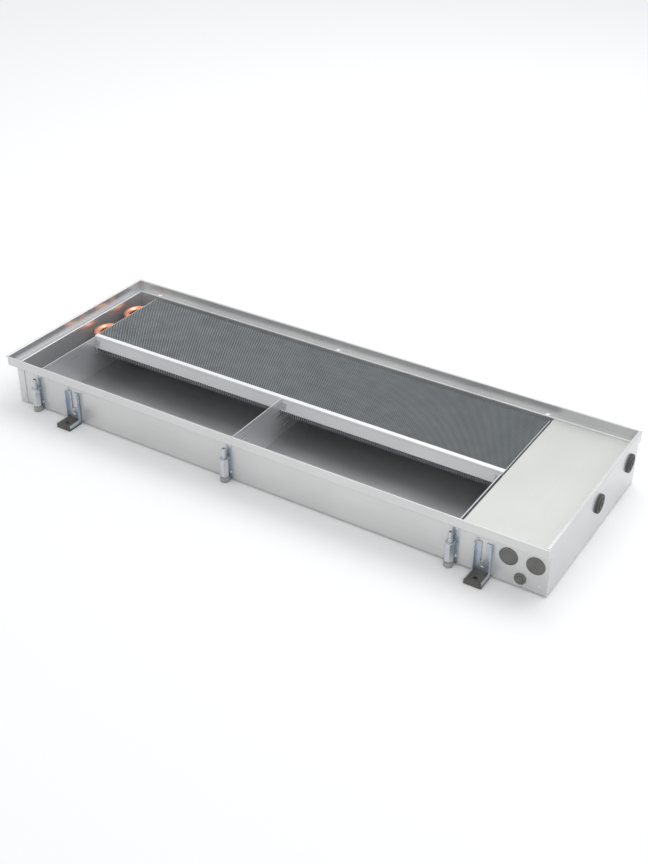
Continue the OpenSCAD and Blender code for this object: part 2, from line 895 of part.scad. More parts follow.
// Foot with a chamfered base. The spindle turns in it.
module jack_foot(i, side) {
    on_wall(jack_x[i] + (side > 0 ? rear_jack_shift : 0), side)
        translate([0, -jack_offset, 0])
            difference() {
                union() {
                    cylinder(h = foot_chamfer, d1 = foot_diameter - 2 * foot_chamfer,
                        d2 = foot_diameter);
                    translate([0, 0, foot_chamfer])
                        cylinder(h = foot_height - foot_chamfer, d = foot_diameter);
                }
                translate([0, 0, spindle_low - face_gap])
                    cylinder(h = foot_height, r = spindle_diameter / 2 + running_fit);
            }
}

module jack_spindle_fl() color([0.7, 0.72, 0.75]) {
    jack_spindle(0, -1);
}

module jack_spindle_fm() color([0.7, 0.72, 0.75]) {
    jack_spindle(1, -1);
}

module jack_spindle_fr() color([0.7, 0.72, 0.75]) {
    jack_spindle(2, -1);
}

module jack_spindle_rl() color([0.7, 0.72, 0.75]) {
    jack_spindle(0, 1);
}

module jack_spindle_rm() color([0.7, 0.72, 0.75]) {
    jack_spindle(1, 1);
}

module jack_spindle_rr() color([0.7, 0.72, 0.75]) {
    jack_spindle(2, 1);
}

module jack_foot_fl() color([0.3, 0.3, 0.29]) {
    jack_foot(0, -1);
}

module jack_foot_fm() color([0.3, 0.3, 0.29]) {
    jack_foot(1, -1);
}

module jack_foot_fr() color([0.3, 0.3, 0.29]) {
    jack_foot(2, -1);
}

module jack_foot_rl() color([0.3, 0.3, 0.29]) {
    jack_foot(0, 1);
}

module jack_foot_rm() color([0.3, 0.3, 0.29]) {
    jack_foot(1, 1);
}

module jack_foot_rr() color([0.3, 0.3, 0.29]) {
    jack_foot(2, 1);
}

// Floor anchors

// Angle bracket with side flanges, an open slot for the clamp screw and a floor screw hole.
module anchor_bracket(i, side) {
    half = anchor_width / 2;
    y_back = -anchor_gap;
    y_web = y_back - anchor_sheet;
    y_end = -anchor_reach + pad_wrap;
    on_wall(anchor_x[i], side)
        difference() {
            union() {
                block([-half, y_web, anchor_low], [half, y_back, anchor_height]);
                block([-half, y_end, anchor_low], [half, y_back, anchor_low + anchor_sheet]);
                for (s = [0, 1])
                    mirror([s, 0, 0]) {
                        block([half - anchor_sheet, y_back - anchor_flange, anchor_low],
                            [half, y_back, anchor_height]);
                        block([half - anchor_sheet, y_end, anchor_low],
                            [half, y_back, anchor_low + anchor_foot_flange]);
                    }
                rod_y(0, dimple_height, y_web - dimple_proud, y_web, dimple_radius);
            }
            rod_y(0, clamp_height, y_web - cut, cut, slot_width / 2);
            block([-slot_width / 2, y_web - cut, clamp_height],
                [slot_width / 2, cut, anchor_height + cut]);
            translate([0, -floor_hole_y, 0])
                cylinder(h = anchor_low + anchor_sheet + cut, d = floor_hole);
        }
}

// Pad under, around and over the bracket's foot.
module anchor_pad(i, side) {
    half = anchor_width / 2;
    y_web = -anchor_gap - anchor_sheet;
    y_end = -anchor_reach + pad_wrap;
    z_plate = anchor_low + anchor_sheet;
    on_wall(anchor_x[i], side)
        difference() {
            union() {
                block([-half, -anchor_reach, 0], [half, y_web, anchor_low]);
                block([-half, -anchor_reach, 0], [half, y_end, z_plate + pad_top]);
                block([-half + anchor_sheet, y_end - cut, z_plate],
                    [half - anchor_sheet, y_web, z_plate + pad_top]);
            }
            translate([0, -floor_hole_y, -cut])
                cylinder(h = z_plate + pad_top + 2 * cut, d = floor_hole);
        }
}

module anchor_bracket_fl() color([0.66, 0.69, 0.73]) {
    anchor_bracket(0, -1);
}

module anchor_bracket_fr() color([0.66, 0.69, 0.73]) {
    anchor_bracket(1, -1);
}

module anchor_bracket_rl() color([0.66, 0.69, 0.73]) {
    anchor_bracket(0, 1);
}

module anchor_bracket_rr() color([0.66, 0.69, 0.73]) {
    anchor_bracket(1, 1);
}

module anchor_pad_fl() color([0.3, 0.3, 0.29]) {
    anchor_pad(0, -1);
}

module anchor_pad_fr() color([0.3, 0.3, 0.29]) {
    anchor_pad(1, -1);
}

module anchor_pad_rl() color([0.3, 0.3, 0.29]) {
    anchor_pad(0, 1);
}

module anchor_pad_rr() color([0.3, 0.3, 0.29]) {
    anchor_pad(1, 1);
}

// Children drawn at every floor anchor, on both walls.
module at_anchors() {
    for (x = anchor_x)
        for (side = [-1, 1])
            on_wall(x, side)
                children();
}

module anchor_screws() color([0.62, 0.64, 0.67]) {
    y_end = -anchor_gap - anchor_sheet - clamp_proud;
    at_anchors()
        rod_y(0, clamp_height, y_end, sheet + nut_height, clamp_diameter / 2);
}

module anchor_nuts() color([0.62, 0.64, 0.67]) {
    at_anchors()
        difference() {
            translate([0, sheet, clamp_height])
                rotate([-90, 0, 0])
                    cylinder(h = nut_height, d = nut_flats / cos(30), $fn = 6);
            rod_y(0, clamp_height, 0, sheet + nut_height + cut, clamp_diameter / 2);
        }
}

// Rivet just over each bracket, which stops it from rising.
module anchor_stops() color([0.62, 0.64, 0.67]) {
    z = anchor_height + stop_gap + stop_radius;
    at_anchors() {
        rod_y(stop_shift, z, -stop_proud, 0, stop_radius);
        rod_y(stop_shift, z, 0, sheet, rivet_shank);
    }
}

trough_pan();
left_end_plate();
right_end_plate();
end_plate_rivets();
left_partition();
middle_partition();
right_partition();
deflector();
rear_rail();
rail_rivets();
fin_pack();
exchanger_end_plates();
heat_tubes();
left_return_bends();
right_return_bend();
supply_connector();
return_connector();
vent_body();
vent_screw();
cover_plate();
cover_supports();
cover_support_rivets();
blanking_caps();
cable_gland();
pipe_grommets();
jack_brackets();
jack_bracket_rivets();
jack_sleeves();
jack_spindle_fl();
jack_spindle_fm();
jack_spindle_fr();
jack_spindle_rl();
jack_spindle_rm();
jack_spindle_rr();
jack_foot_fl();
jack_foot_fm();
jack_foot_fr();
jack_foot_rl();
jack_foot_rm();
jack_foot_rr();
anchor_bracket_fl();
anchor_bracket_fr();
anchor_bracket_rl();
anchor_bracket_rr();
anchor_pad_fl();
anchor_pad_fr();
anchor_pad_rl();
anchor_pad_rr();
anchor_screws();
anchor_nuts();
anchor_stops();
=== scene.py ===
# %% [markdown]
# # Trench convector heater
# The real object is a long sheet-metal trough that is sunk in a floor by a window. It holds a
# finned water exchanger, and a cover hides the pipe connections at its right end. This lesson
# dresses the imported CAD model: the CAD gives every place, and Blender gives rounded folds,
# small hardware and finishes. The frame is loaded first, because each piece rides on one of its
# bodies.

# %% Load the imported frame
import math

import bmesh
import bpy
from mathutils import Matrix, Vector


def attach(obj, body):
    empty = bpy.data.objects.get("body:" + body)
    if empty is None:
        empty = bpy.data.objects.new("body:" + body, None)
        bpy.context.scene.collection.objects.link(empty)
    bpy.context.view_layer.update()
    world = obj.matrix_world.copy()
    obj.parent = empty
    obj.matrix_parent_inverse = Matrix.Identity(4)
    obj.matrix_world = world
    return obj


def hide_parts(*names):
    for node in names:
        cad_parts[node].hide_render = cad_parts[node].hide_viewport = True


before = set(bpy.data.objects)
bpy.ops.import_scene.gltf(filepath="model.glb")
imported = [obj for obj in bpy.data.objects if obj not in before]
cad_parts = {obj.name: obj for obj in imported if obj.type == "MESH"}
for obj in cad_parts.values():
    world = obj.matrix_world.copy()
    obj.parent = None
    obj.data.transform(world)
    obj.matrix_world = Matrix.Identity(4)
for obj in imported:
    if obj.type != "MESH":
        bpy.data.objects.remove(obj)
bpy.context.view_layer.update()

# %% [markdown]
# ## Camera
# The viewing angle was solved from the straight edges of the trough in the photograph: the
# camera stands in front of the right end and looks down by about 33 degrees. A camera looks
# along its own -Z with +Y up, so its matrix is built from three directions instead of angles,
# which leaves no doubt about their order.

# %% Camera
look_turn = math.radians(31.967)
look_down = math.radians(32.536)
look_tilt = math.radians(0.393)
camera_place = Vector((0.95345, -1.4857, 1.1400))

forward = Vector((-math.sin(look_turn) * math.cos(look_down),
                  math.cos(look_turn) * math.cos(look_down),
                  -math.sin(look_down)))
level_right = Vector((math.cos(look_turn), math.sin(look_turn), 0))
level_up = level_right.cross(forward)
right = level_right * math.cos(look_tilt) + level_up * math.sin(look_tilt)
up = level_up * math.cos(look_tilt) - level_right * math.sin(look_tilt)

camera_data = bpy.data.cameras.new("camera")
camera_data.lens = 51.91
camera_data.sensor_width = 36
camera_data.clip_end = 60
camera = bpy.data.objects.new("camera", camera_data)
bpy.context.scene.collection.objects.link(camera)
camera.matrix_world = Matrix((
    (right.x, up.x, -forward.x, camera_place.x),
    (right.y, up.y, -forward.y, camera_place.y),
    (right.z, up.z, -forward.z, camera_place.z),
    (0, 0, 0, 1)))
bpy.context.scene.camera = camera
bpy.context.scene.view_settings.view_transform = "Standard"
print("Camera at", [round(v, 3) for v in camera_place], "with a lens of", camera_data.lens, "mm")

# %% [markdown]
# ## Studio
# Bare metal shows what stands around it, so the room matters as much as the lamps. Here it is a
# plain pale room: a pale floor, a white sky for camera and mirror rays, and a dimmer sky for
# the light that falls on the object. One wide lamp hangs behind the trough, so its soft shadow
# falls to the front, as in the photograph. Light Path splits what a ray sees from what lights
# the object, so the background turns white without more light on the metal.

# %% Helpers for node trees
def feed(tree, target, value):
    """Link a node's output to an input, or set the input to a plain value."""
    if isinstance(value, bpy.types.NodeSocket):
        tree.links.new(value, target)
    else:
        target.default_value = value


def node_in(tree, kind, inputs=(), **settings):
    """A node with its settings, and what goes into its inputs by name or by number."""
    node = tree.nodes.new(kind)
    for name, value in settings.items():
        setattr(node, name, value)
    for label, value in dict(inputs).items():
        feed(tree, node.inputs[label], value)
    return node


def level_of(tree, first, second, operation):
    """The result of a Math node for two sockets or numbers."""
    return node_in(tree, "ShaderNodeMath", {0: first, 1: second}, operation=operation).outputs[0]


def times(tree, first, second):
    return level_of(tree, first, second, "MULTIPLY")


def blend_of(tree, first, first_part, second, second_part):
    """Two masks added up, each with its part."""
    return level_of(tree, times(tree, first, first_part), times(tree, second, second_part), "ADD")


def seen_directly(tree):
    """1 for a ray from the camera, a mirror or glass, and 0 for light that spreads."""
    path = node_in(tree, "ShaderNodeLightPath")
    seen = level_of(tree, path.outputs["Is Camera Ray"], path.outputs["Is Glossy Ray"], "MAXIMUM")
    return level_of(tree, seen, path.outputs["Is Transmission Ray"], "MAXIMUM")


# %% Sky
sky_for_eyes = 1.0
sky_for_light = 0.82
world = bpy.data.worlds.new("studio_sky")
world.use_nodes = True
bpy.context.scene.world = world
sky = world.node_tree
sky.nodes.clear()
shown_sky = node_in(sky, "ShaderNodeBackground", {"Color": (1, 1, 1, 1), "Strength": sky_for_eyes})
lit_sky = node_in(sky, "ShaderNodeBackground", {"Color": (0.98, 0.99, 1, 1), "Strength": sky_for_light})
sky_choice = node_in(sky, "ShaderNodeMixShader",
                     {0: seen_directly(sky), 1: lit_sky.outputs[0], 2: shown_sky.outputs[0]})
node_in(sky, "ShaderNodeOutputWorld", {"Surface": sky_choice.outputs[0]})
print("Sky:", sky_for_eyes, "for eyes and mirrors,", sky_for_light, "for light")

# %% Floor
chalk_for_light = 0.84
extra_for_eyes = 0.12
glow_for_eyes = 0.03
bpy.ops.object.select_all(action="DESELECT")
bpy.ops.mesh.primitive_plane_add(size=24, location=(0, 0, 0))
floor = bpy.context.object
floor.name = "studio_floor"
floor_paint = bpy.data.materials.new("floor_paint")
floor_paint.use_nodes = True
paint = floor_paint.node_tree
paint.nodes.clear()
for_eyes = seen_directly(paint)
chalk_tone = level_of(paint, times(paint, for_eyes, extra_for_eyes), chalk_for_light, "ADD")
chalk = node_in(paint, "ShaderNodeBsdfDiffuse", {"Color": chalk_tone})
glow = node_in(paint, "ShaderNodeEmission", {"Strength": times(paint, for_eyes, glow_for_eyes)})
floor_sum = node_in(paint, "ShaderNodeAddShader", {0: chalk.outputs[0], 1: glow.outputs[0]})
node_in(paint, "ShaderNodeOutputMaterial", {"Surface": floor_sum.outputs[0]})
floor.data.materials.append(floor_paint)
print("Floor:", floor.dimensions[0], "m wide")

# %% Lamps
def hang_lamp(name, place, aim, size, power):
    lamp_data = bpy.data.lights.new(name, "AREA")
    lamp_data.shape = "RECTANGLE"
    lamp_data.size, lamp_data.size_y = size
    lamp_data.energy = power
    lamp = bpy.data.objects.new(name, lamp_data)
    bpy.context.scene.collection.objects.link(lamp)
    lamp.location = place
    lamp.rotation_euler = (Vector(aim) - Vector(place)).to_track_quat("-Z", "Y").to_euler()
    print("Lamp", name, "of", power, "W at", place)
    return lamp


hang_lamp("wide_lamp", (0.4, 1.1, 2.4), (0, 0, 0), (2.8, 1.6), 26)

# %% [markdown]
# ## Shared effects
# Sheet metal is never one flat grey: rolling leaves fine lengthwise streaks, handling leaves a
# cloudy tone, cut and folded edges are painted paler, partly as wear and partly as a painted
# highlight where they would catch the light, and dust settles on what faces up. Each effect is a
# small node group that gives one value, so that all the finishes can share it. The shaders stay in
# the materials, where the export can read them.

# %% Helpers for effect groups
def effect_group(name, label, value):
    """A node group with one input and one output called Mask. It gives the group, the input's
    socket and the output's socket."""
    tree = bpy.data.node_groups.new(name, "ShaderNodeTree")
    kind = "NodeSocketVector" if isinstance(value, tuple) else "NodeSocketFloat"
    tree.interface.new_socket(label, in_out="INPUT", socket_type=kind).default_value = value
    tree.interface.new_socket("Mask", in_out="OUTPUT", socket_type="NodeSocketFloat")
    return (tree, node_in(tree, "NodeGroupInput").outputs[label],
            node_in(tree, "NodeGroupOutput").inputs["Mask"])


def object_place(tree):
    return node_in(tree, "ShaderNodeTexCoord").outputs["Object"]


def axis_of(tree, vector, axis):
    return node_in(tree, "ShaderNodeSeparateXYZ", {0: vector}).outputs[axis]


def stretch_level(tree, value, low, high):
    """The value spread so that low becomes 0 and high becomes 1."""
    return node_in(tree, "ShaderNodeMapRange",
                   {"Value": value, "From Min": low, "From Max": high}).outputs["Result"]


# %% Rolled streaks and cloudy tone
# The input of the first is how many streaks there are to a metre along X, Y and Z.
rolled, streak_rate, rolled_mask = effect_group("rolled_streaks", "Streaks", (6.0, 700.0, 700.0))
streak_map = node_in(rolled, "ShaderNodeVectorMath", {0: object_place(rolled), 1: streak_rate},
                     operation="MULTIPLY")
streaks = node_in(rolled, "ShaderNodeTexNoise",
                  {"Vector": streak_map.outputs[0], "Scale": 1.0, "Detail": 3.0})
feed(rolled, rolled_mask, stretch_level(rolled, streaks.outputs["Fac"], 0.25, 0.75))

cloud, patch_rate, cloud_mask = effect_group("cloudy_tone", "Patches", 9.0)
clouds = node_in(cloud, "ShaderNodeTexNoise",
                 {"Vector": object_place(cloud), "Scale": patch_rate, "Detail": 2.5, "Roughness": 0.45})
feed(cloud, cloud_mask, stretch_level(cloud, clouds.outputs["Fac"], 0.3, 0.7))
print("Groups:", rolled.name, cloud.name)

# %% Edges painted paler as wear and painted highlight, and settled dust
# Painted highlight and wear: the mask is 1 on edges, where the rounded normal parts from the true one, and
# the finishes paint those edges a paler colour.
edge_wear_and_highlight, edge_width, edge_wear_and_highlight_mask = effect_group("edge_wear_and_painted_highlight", "Width", 0.0008)
round_normal = node_in(edge_wear_and_highlight, "ShaderNodeBevel", {"Radius": edge_width}, samples=3)
true_normal = node_in(edge_wear_and_highlight, "ShaderNodeNewGeometry")
agreement = node_in(edge_wear_and_highlight, "ShaderNodeVectorMath",
                    {0: round_normal.outputs["Normal"], 1: true_normal.outputs["Normal"]},
                    operation="DOT_PRODUCT")
feed(edge_wear_and_highlight, edge_wear_and_highlight_mask, stretch_level(edge_wear_and_highlight, agreement.outputs["Value"], 0.99, 0.72))

dust, speck_rate, dust_mask = effect_group("settled_dust", "Specks", 260.0)
specks = node_in(dust, "ShaderNodeTexNoise",
                 {"Vector": object_place(dust), "Scale": speck_rate, "Detail": 4.0})
dust_up = axis_of(dust, node_in(dust, "ShaderNodeNewGeometry").outputs["Normal"], "Z")
feed(dust, dust_mask, times(dust, stretch_level(dust, dust_up, 0.4, 1.0),
                            stretch_level(dust, specks.outputs["Fac"], 0.45, 0.75)))
print("Groups:", edge_wear_and_highlight.name, dust.name)

# %% [markdown]
# ## Finishes
# Every finish starts from one Principled shader. Its colour is written as it looks on a screen
# and turned into light values, and only a few things change over the surface: tone, roughness
# and a shallow relief. What is the same all over is set on the shader's own sockets.

# %% Helpers for finishes
def screen_colour(steps):
    """A colour written in screen steps of 0 to 255, as light values."""
    parts = [level / 255 for level in steps]
    light = [p / 12.92 if p <= 0.04045 else ((p + 0.055) / 1.055) ** 2.4 for p in parts]
    return (*light, 1)


def new_finish(name, metallic, **inputs):
    material = bpy.data.materials.new(name)
    material.use_nodes = True
    shader = material.node_tree.nodes["Principled BSDF"]
    shader.inputs["Metallic"].default_value = metallic
    for label, value in inputs.items():
        shader.inputs[label.replace("_", " ")].default_value = value
    return material, material.node_tree, shader


def effect(tree, group, **inputs):
    """The Mask of an effect group, with its inputs set."""
    return node_in(tree, "ShaderNodeGroup", inputs, node_tree=group).outputs["Mask"]


def tone_between(tree, mask, low, high):
    """A colour that goes from low to high as the mask goes from 0 to 1. Each of the two is a
    socket or a colour in screen steps."""
    low, high = [screen_colour(tone) if isinstance(tone, tuple) else tone for tone in (low, high)]
    first_colour, second_colour = 6, 7
    mix = node_in(tree, "ShaderNodeMix", data_type="RGBA",
                  inputs={"Factor": mask, first_colour: low, second_colour: high})
    return mix.outputs[2]


def number_between(tree, mask, low, high):
    """A number that goes from low to high as the mask goes from 0 to 1."""
    return node_in(tree, "ShaderNodeMapRange",
                   {"Value": mask, "To Min": low, "To Max": high}).outputs["Result"]


def dress(tree, shader, colour, roughness, height, depth, share):
    """Colour, roughness and a shallow relief for the shader. The relief is depth metres deep."""
    bump = node_in(tree, "ShaderNodeBump", {"Strength": share, "Distance": depth, "Height": height})
    for label, value in (("Base Color", colour), ("Roughness", roughness),
                         ("Normal", bump.outputs["Normal"])):
        feed(tree, shader.inputs[label], value)


# %% [markdown]
# ### Satin steel sheet
# The trough, its ends and the partitions are bright steel sheet with a satin rolled face. It
# looks partly like a soft mirror and partly like a matt grey, so the metallic share lies near
# one half and only soft patches are mirrored, such as the copper glow on the left end. Faint
# streaks follow the length of the trough and reach both tone and roughness. The floor of the
# trough is more of a mirror than its walls: it is dark where it shows the exchanger's underside,
# and its colour is also painted a little darker there, as painted shade.

# %% Satin steel sheet
STREAK_PART, PATCH_PART = 0.3, 0.7
EDGE_WEAR_AND_HIGHLIGHT_PART, GRIME_PART = 0.7, 0.10


def satin_sheet(name, mirror, dark, light, smooth, rough, streaks, edge):
    finish, tree, shader = new_finish(name, mirror)
    streak = effect(tree, rolled, Streaks=streaks)
    both = blend_of(tree, streak, STREAK_PART, effect(tree, cloud, Patches=7.0), PATCH_PART)
    body = tone_between(tree, both, dark, light)
    # Edges painted paler: partly wear, partly a painted highlight.
    rubbed_and_highlit = times(tree, effect(tree, edge_wear_and_highlight, Width=0.0009), EDGE_WEAR_AND_HIGHLIGHT_PART)
    grime = times(tree, effect(tree, dust, Specks=310.0), GRIME_PART)
    dust_and_edge_highlight_tone = tone_between(tree, grime, tone_between(tree, rubbed_and_highlit, body, edge), (186, 184, 180))
    dress(tree, shader, dust_and_edge_highlight_tone, number_between(tree, both, smooth, rough), streak, 0.00004, 0.02)
    return finish


# The last colour of each sheet is its edge tone, a paler colour painted on edges as wear and painted
# highlight.
trough_steel = satin_sheet("trough_steel", 0.55, (206, 207, 207), (222, 223, 222),
                           0.28, 0.38, (7.0, 620.0, 620.0), (240, 240, 239))
end_steel = satin_sheet("end_steel", 0.65, (203, 204, 206), (219, 219, 221),
                        0.16, 0.26, (620.0, 7.0, 620.0), (240, 240, 241))
inner_steel = satin_sheet("inner_steel", 0.55, (204, 205, 209), (218, 219, 222),
                          0.24, 0.34, (620.0, 9.0, 620.0), (242, 242, 244))
cover_steel = satin_sheet("cover_steel", 0.45, (192, 193, 190), (202, 203, 200),
                          0.32, 0.42, (500.0, 9.0, 500.0), (222, 223, 220))
deflector_steel = satin_sheet("deflector_steel", 0.25, (232, 233, 235), (244, 244, 246),
                              0.30, 0.40, (7.0, 560.0, 560.0), (250, 250, 250))
print("Sheet finishes:", [m.name for m in bpy.data.materials if "steel" in m.name])

# %% More mirror and painted shade on the trough floor
# The share is 1 on the floor of the trough and 0 from a few millimetres above it. There the colour is also
# painted a little darker, as painted shade under the exchanger.
floor_low, floor_high = 0.003, 0.006
wall_mirror, floor_mirror = 0.55, 0.80
floor_painted_shade = 0.8
pan = trough_steel.node_tree
pan_inputs = pan.nodes["Principled BSDF"].inputs
floor_share = stretch_level(pan, axis_of(pan, object_place(pan), "Z"), floor_high, floor_low)
wall_tone = pan_inputs["Base Color"].links[0].from_socket
# Painted shade: the floor's colour is pulled towards a darker grey.
feed(pan, pan_inputs["Base Color"],
     tone_between(pan, times(pan, floor_share, floor_painted_shade), wall_tone, (198, 200, 201)))
feed(pan, pan_inputs["Metallic"], number_between(pan, floor_share, wall_mirror, floor_mirror))
print("Trough floor: metallic", floor_mirror, "and its walls:", wall_mirror)

# %% [markdown]
# ### Exchanger fins
# Real fins are thin aluminium pressed into small upright waves, about 4 mm from crest to crest.
# Waves on two hundred fins would cost a hundred thousand faces, so the plates stay straight and
# a wave texture bends only the light on them. The same wave also paints shade into the colour:
# the troughs are painted dark and the crests light, which gives the dotted look from above.

# %% Exchanger fins
waves_per_metre = 232
painted_wave_shade_part, cloud_part = 0.9, 0.1
fin_metal, tree, shader = new_finish("fin_metal", 0.3)
wave_turn = times(tree, axis_of(tree, object_place(tree), "Y"), 2 * math.pi * waves_per_metre)
wave = stretch_level(tree, level_of(tree, wave_turn, 0.0, "SINE"), -1.0, 1.0)
patch = effect(tree, cloud, Patches=46.0)
# Painted shade and highlight: the colour runs dark in the wave troughs and light on the crests.
fin_tone_with_painted_wave_shade = tone_between(tree, blend_of(tree, wave, painted_wave_shade_part, patch, cloud_part),
                        (64, 69, 72), (240, 245, 248))
dress(tree, shader, fin_tone_with_painted_wave_shade, number_between(tree, patch, 0.42, 0.55), wave, 0.0008, 0.8)
print("Fin waves to a metre:", waves_per_metre)

# %% [markdown]
# ### Copper and brass
# Drawn copper is bright with a soft brown bloom where hands and heat have been. Brass fittings
# are turned, so fine rings show in their roughness.

# %% Copper and brass
copper, tree, shader = new_finish("drawn_copper", 1.0)
bloom = effect(tree, cloud, Patches=85.0)
copper_body = tone_between(tree, bloom, (240, 178, 150), (228, 152, 120))
# Edges painted paler: partly rubbing, partly a painted highlight.
rubbed_and_highlit = times(tree, effect(tree, edge_wear_and_highlight, Width=0.0006), 0.4)
dress(tree, shader, tone_between(tree, rubbed_and_highlit, copper_body, (250, 206, 184)),
      number_between(tree, bloom, 0.16, 0.30), bloom, 0.0001, 0.2)

brass, tree, shader = new_finish("turned_brass", 1.0)
rings = effect(tree, rolled, Streaks=(1600.0, 60.0, 60.0))
dress(tree, shader, tone_between(tree, rings, (208, 178, 112), (232, 206, 140)),
      number_between(tree, rings, 0.20, 0.34), rings, 0.00005, 0.3)
print("Warm metals:", copper.name, brass.name)

# %% [markdown]
# ### Zinc plating
# The jacks and anchors are steel with bright bluish zinc. Its tone shifts in small clouds from
# blue grey to warm grey, and the plating is duller in the bends. Its edges are painted paler,
# partly as wear and partly as a painted highlight.

# %% Zinc plating
def zinc(name, cool, warm, smooth, rough):
    finish, tree, shader = new_finish(name, 0.75)
    shift_of_tone = effect(tree, cloud, Patches=70.0)
    body = tone_between(tree, shift_of_tone, cool, warm)
    # Edges painted paler: partly wear, partly a painted highlight.
    rubbed_and_highlit = times(tree, effect(tree, edge_wear_and_highlight, Width=0.0007), 0.6)
    grime = times(tree, effect(tree, dust, Specks=420.0), 0.2)
    plated = tone_between(tree, grime, tone_between(tree, rubbed_and_highlit, body, (232, 236, 242)), (158, 156, 152))
    dress(tree, shader, plated, number_between(tree, shift_of_tone, smooth, rough), shift_of_tone,
          0.00006, 0.25)
    return finish


zinc_sheet = zinc("zinc_sheet", (178, 190, 204), (205, 210, 214), 0.26, 0.42)
zinc_bar = zinc("zinc_bar", (196, 201, 207), (214, 216, 217), 0.24, 0.36)
rivet_metal = zinc("rivet_metal", (206, 208, 211), (222, 223, 224), 0.26, 0.38)
print("Zinc finishes:", zinc_sheet.name, zinc_bar.name, rivet_metal.name)

# %% [markdown]
# ### Plastic and rubber
# The caps, grommets and anchor pads are dark grey mouldings, and the jack feet are a lighter
# grey one. They have a matt skin with a fine grain, edges that are painted a little paler, partly
# as rubbing and partly as a painted highlight, and some floor dust.

# %% Plastic and rubber
def moulding(name, dark, light, roughness, grain):
    finish, tree, shader = new_finish(name, 0.0, Specular_IOR_Level=0.35)
    skin = effect(tree, cloud, Patches=grain)
    body = tone_between(tree, effect(tree, cloud, Patches=60.0), dark, light)
    # Edges painted paler: partly rubbing, partly a painted highlight.
    rubbed_and_highlit = times(tree, effect(tree, edge_wear_and_highlight, Width=0.0008), 0.35)
    grime = times(tree, effect(tree, dust, Specks=500.0), 0.3)
    aged_with_edge_highlight = tone_between(tree, grime, tone_between(tree, rubbed_and_highlit, body, (150, 149, 146)), (140, 138, 133))
    dress(tree, shader, aged_with_edge_highlight, number_between(tree, skin, roughness - 0.08, roughness + 0.08), skin,
          0.0002, 0.35)
    return finish


cap_plastic = moulding("cap_plastic", (106, 106, 103), (118, 118, 115), 0.55, 900.0)
grommet_rubber = moulding("grommet_rubber", (70, 70, 69), (88, 88, 86), 0.62, 700.0)
pad_rubber = moulding("pad_rubber", (84, 83, 80), (100, 99, 95), 0.6, 800.0)
foot_rubber = moulding("foot_rubber", (158, 158, 156), (174, 174, 171), 0.5, 800.0)
print("Mouldings:", cap_plastic.name, grommet_rubber.name, pad_rubber.name, foot_rubber.name)

# %% [markdown]
# ## Working by hand
# The pieces are made as a sheet-metal shop makes them: a flat blank is laid down at its place,
# its edges are folded up one after the other, the folds get a radius, and at the end the sheet
# gets its thickness. Turned parts grow ring by ring from a circle. All sizes are in millimetres
# here, and each piece ends with its place in its own mesh.

# %% Places that several pieces share
# All in mm. A folded sheet is drawn as its middle plane, and WALL_FACE is the outer face of the
# front wall, where the hardware sits.
MM = 0.001
SHEET = 1.25
FLOOR_Z, LEDGE_Z, RIM_Z, TOP_Z = 2.125, 73.875, 90.875, 91.5
WALL_Y, LAP_Y, LEDGE_Y = 169.375, 170.625, 179.375
LEFT_WALL_X, LEFT_LEDGE_X = -496.125, -506.125
LEDGE_WIDTH, RIM_HEIGHT, FLANGE = 10, 17, 2.625
WALL_FACE = -170
SLACK = 0.02
print("Sheet of", SHEET, "mm, ledge at", LEDGE_Z, "mm, rim up to", TOP_Z, "mm")

# %% Helpers to select and shape


def let_go():
    """Leave edit mode and deselect everything, because an operator acts on all that is selected."""
    if bpy.context.mode != "OBJECT":
        bpy.ops.object.mode_set(mode="OBJECT")
    bpy.ops.object.select_all(action="DESELECT")


def settle():
    """Move place, turn and scale of the piece into its mesh."""
    bpy.ops.object.transform_apply(location=True, rotation=True, scale=True)


def face_outward(weld=False):
    """Turn all faces of the piece outward, and weld corners that lie on each other if asked."""
    bpy.ops.mesh.select_all(action="SELECT")
    if weld:
        bpy.ops.mesh.remove_doubles(threshold=1e-6)
    bpy.ops.mesh.normals_make_consistent(inside=False)


def take(piece):
    """Select one piece alone and make it the active one."""
    let_go()
    piece.select_set(True)
    bpy.context.view_layer.objects.active = piece


def work_on(piece):
    take(piece)
    bpy.ops.object.mode_set(mode="EDIT")


def pick(kind, *regions):
    """Select the vertices, edges or faces that lie wholly inside one of the regions.
    A region gives a range in mm for x, y and z, or None where any will do."""
    bpy.ops.mesh.select_mode(type=kind)
    bpy.ops.mesh.select_all(action="DESELECT")
    shape = bmesh.from_edit_mesh(bpy.context.object.data)
    for item in {"VERT": shape.verts, "EDGE": shape.edges, "FACE": shape.faces}[kind]:
        corners = [item.co] if kind == "VERT" else [v.co for v in item.verts]
        for region in regions:
            if all(span is None or span[0] - SLACK <= c[axis] / MM <= span[1] + SLACK
                   for c in corners for axis, span in enumerate(region)):
                item.select_set(True)
    bmesh.update_edit_mesh(bpy.context.object.data)


def slice_at(point, normal):
    """Cut new edges into the whole piece along a plane."""
    bpy.ops.mesh.select_all(action="SELECT")
    bpy.ops.mesh.bisect(plane_co=Vector(point) * MM, plane_no=normal)


def push_edges(*move):
    bpy.ops.mesh.extrude_edges_move(TRANSFORM_OT_translate={"value": Vector(move) * MM})


def shift(*move):
    bpy.ops.transform.translate(value=Vector(move) * MM)


def round_fold(radius, steps=4):
    bpy.ops.mesh.bevel(offset=radius * MM, segments=steps, affect="EDGES")


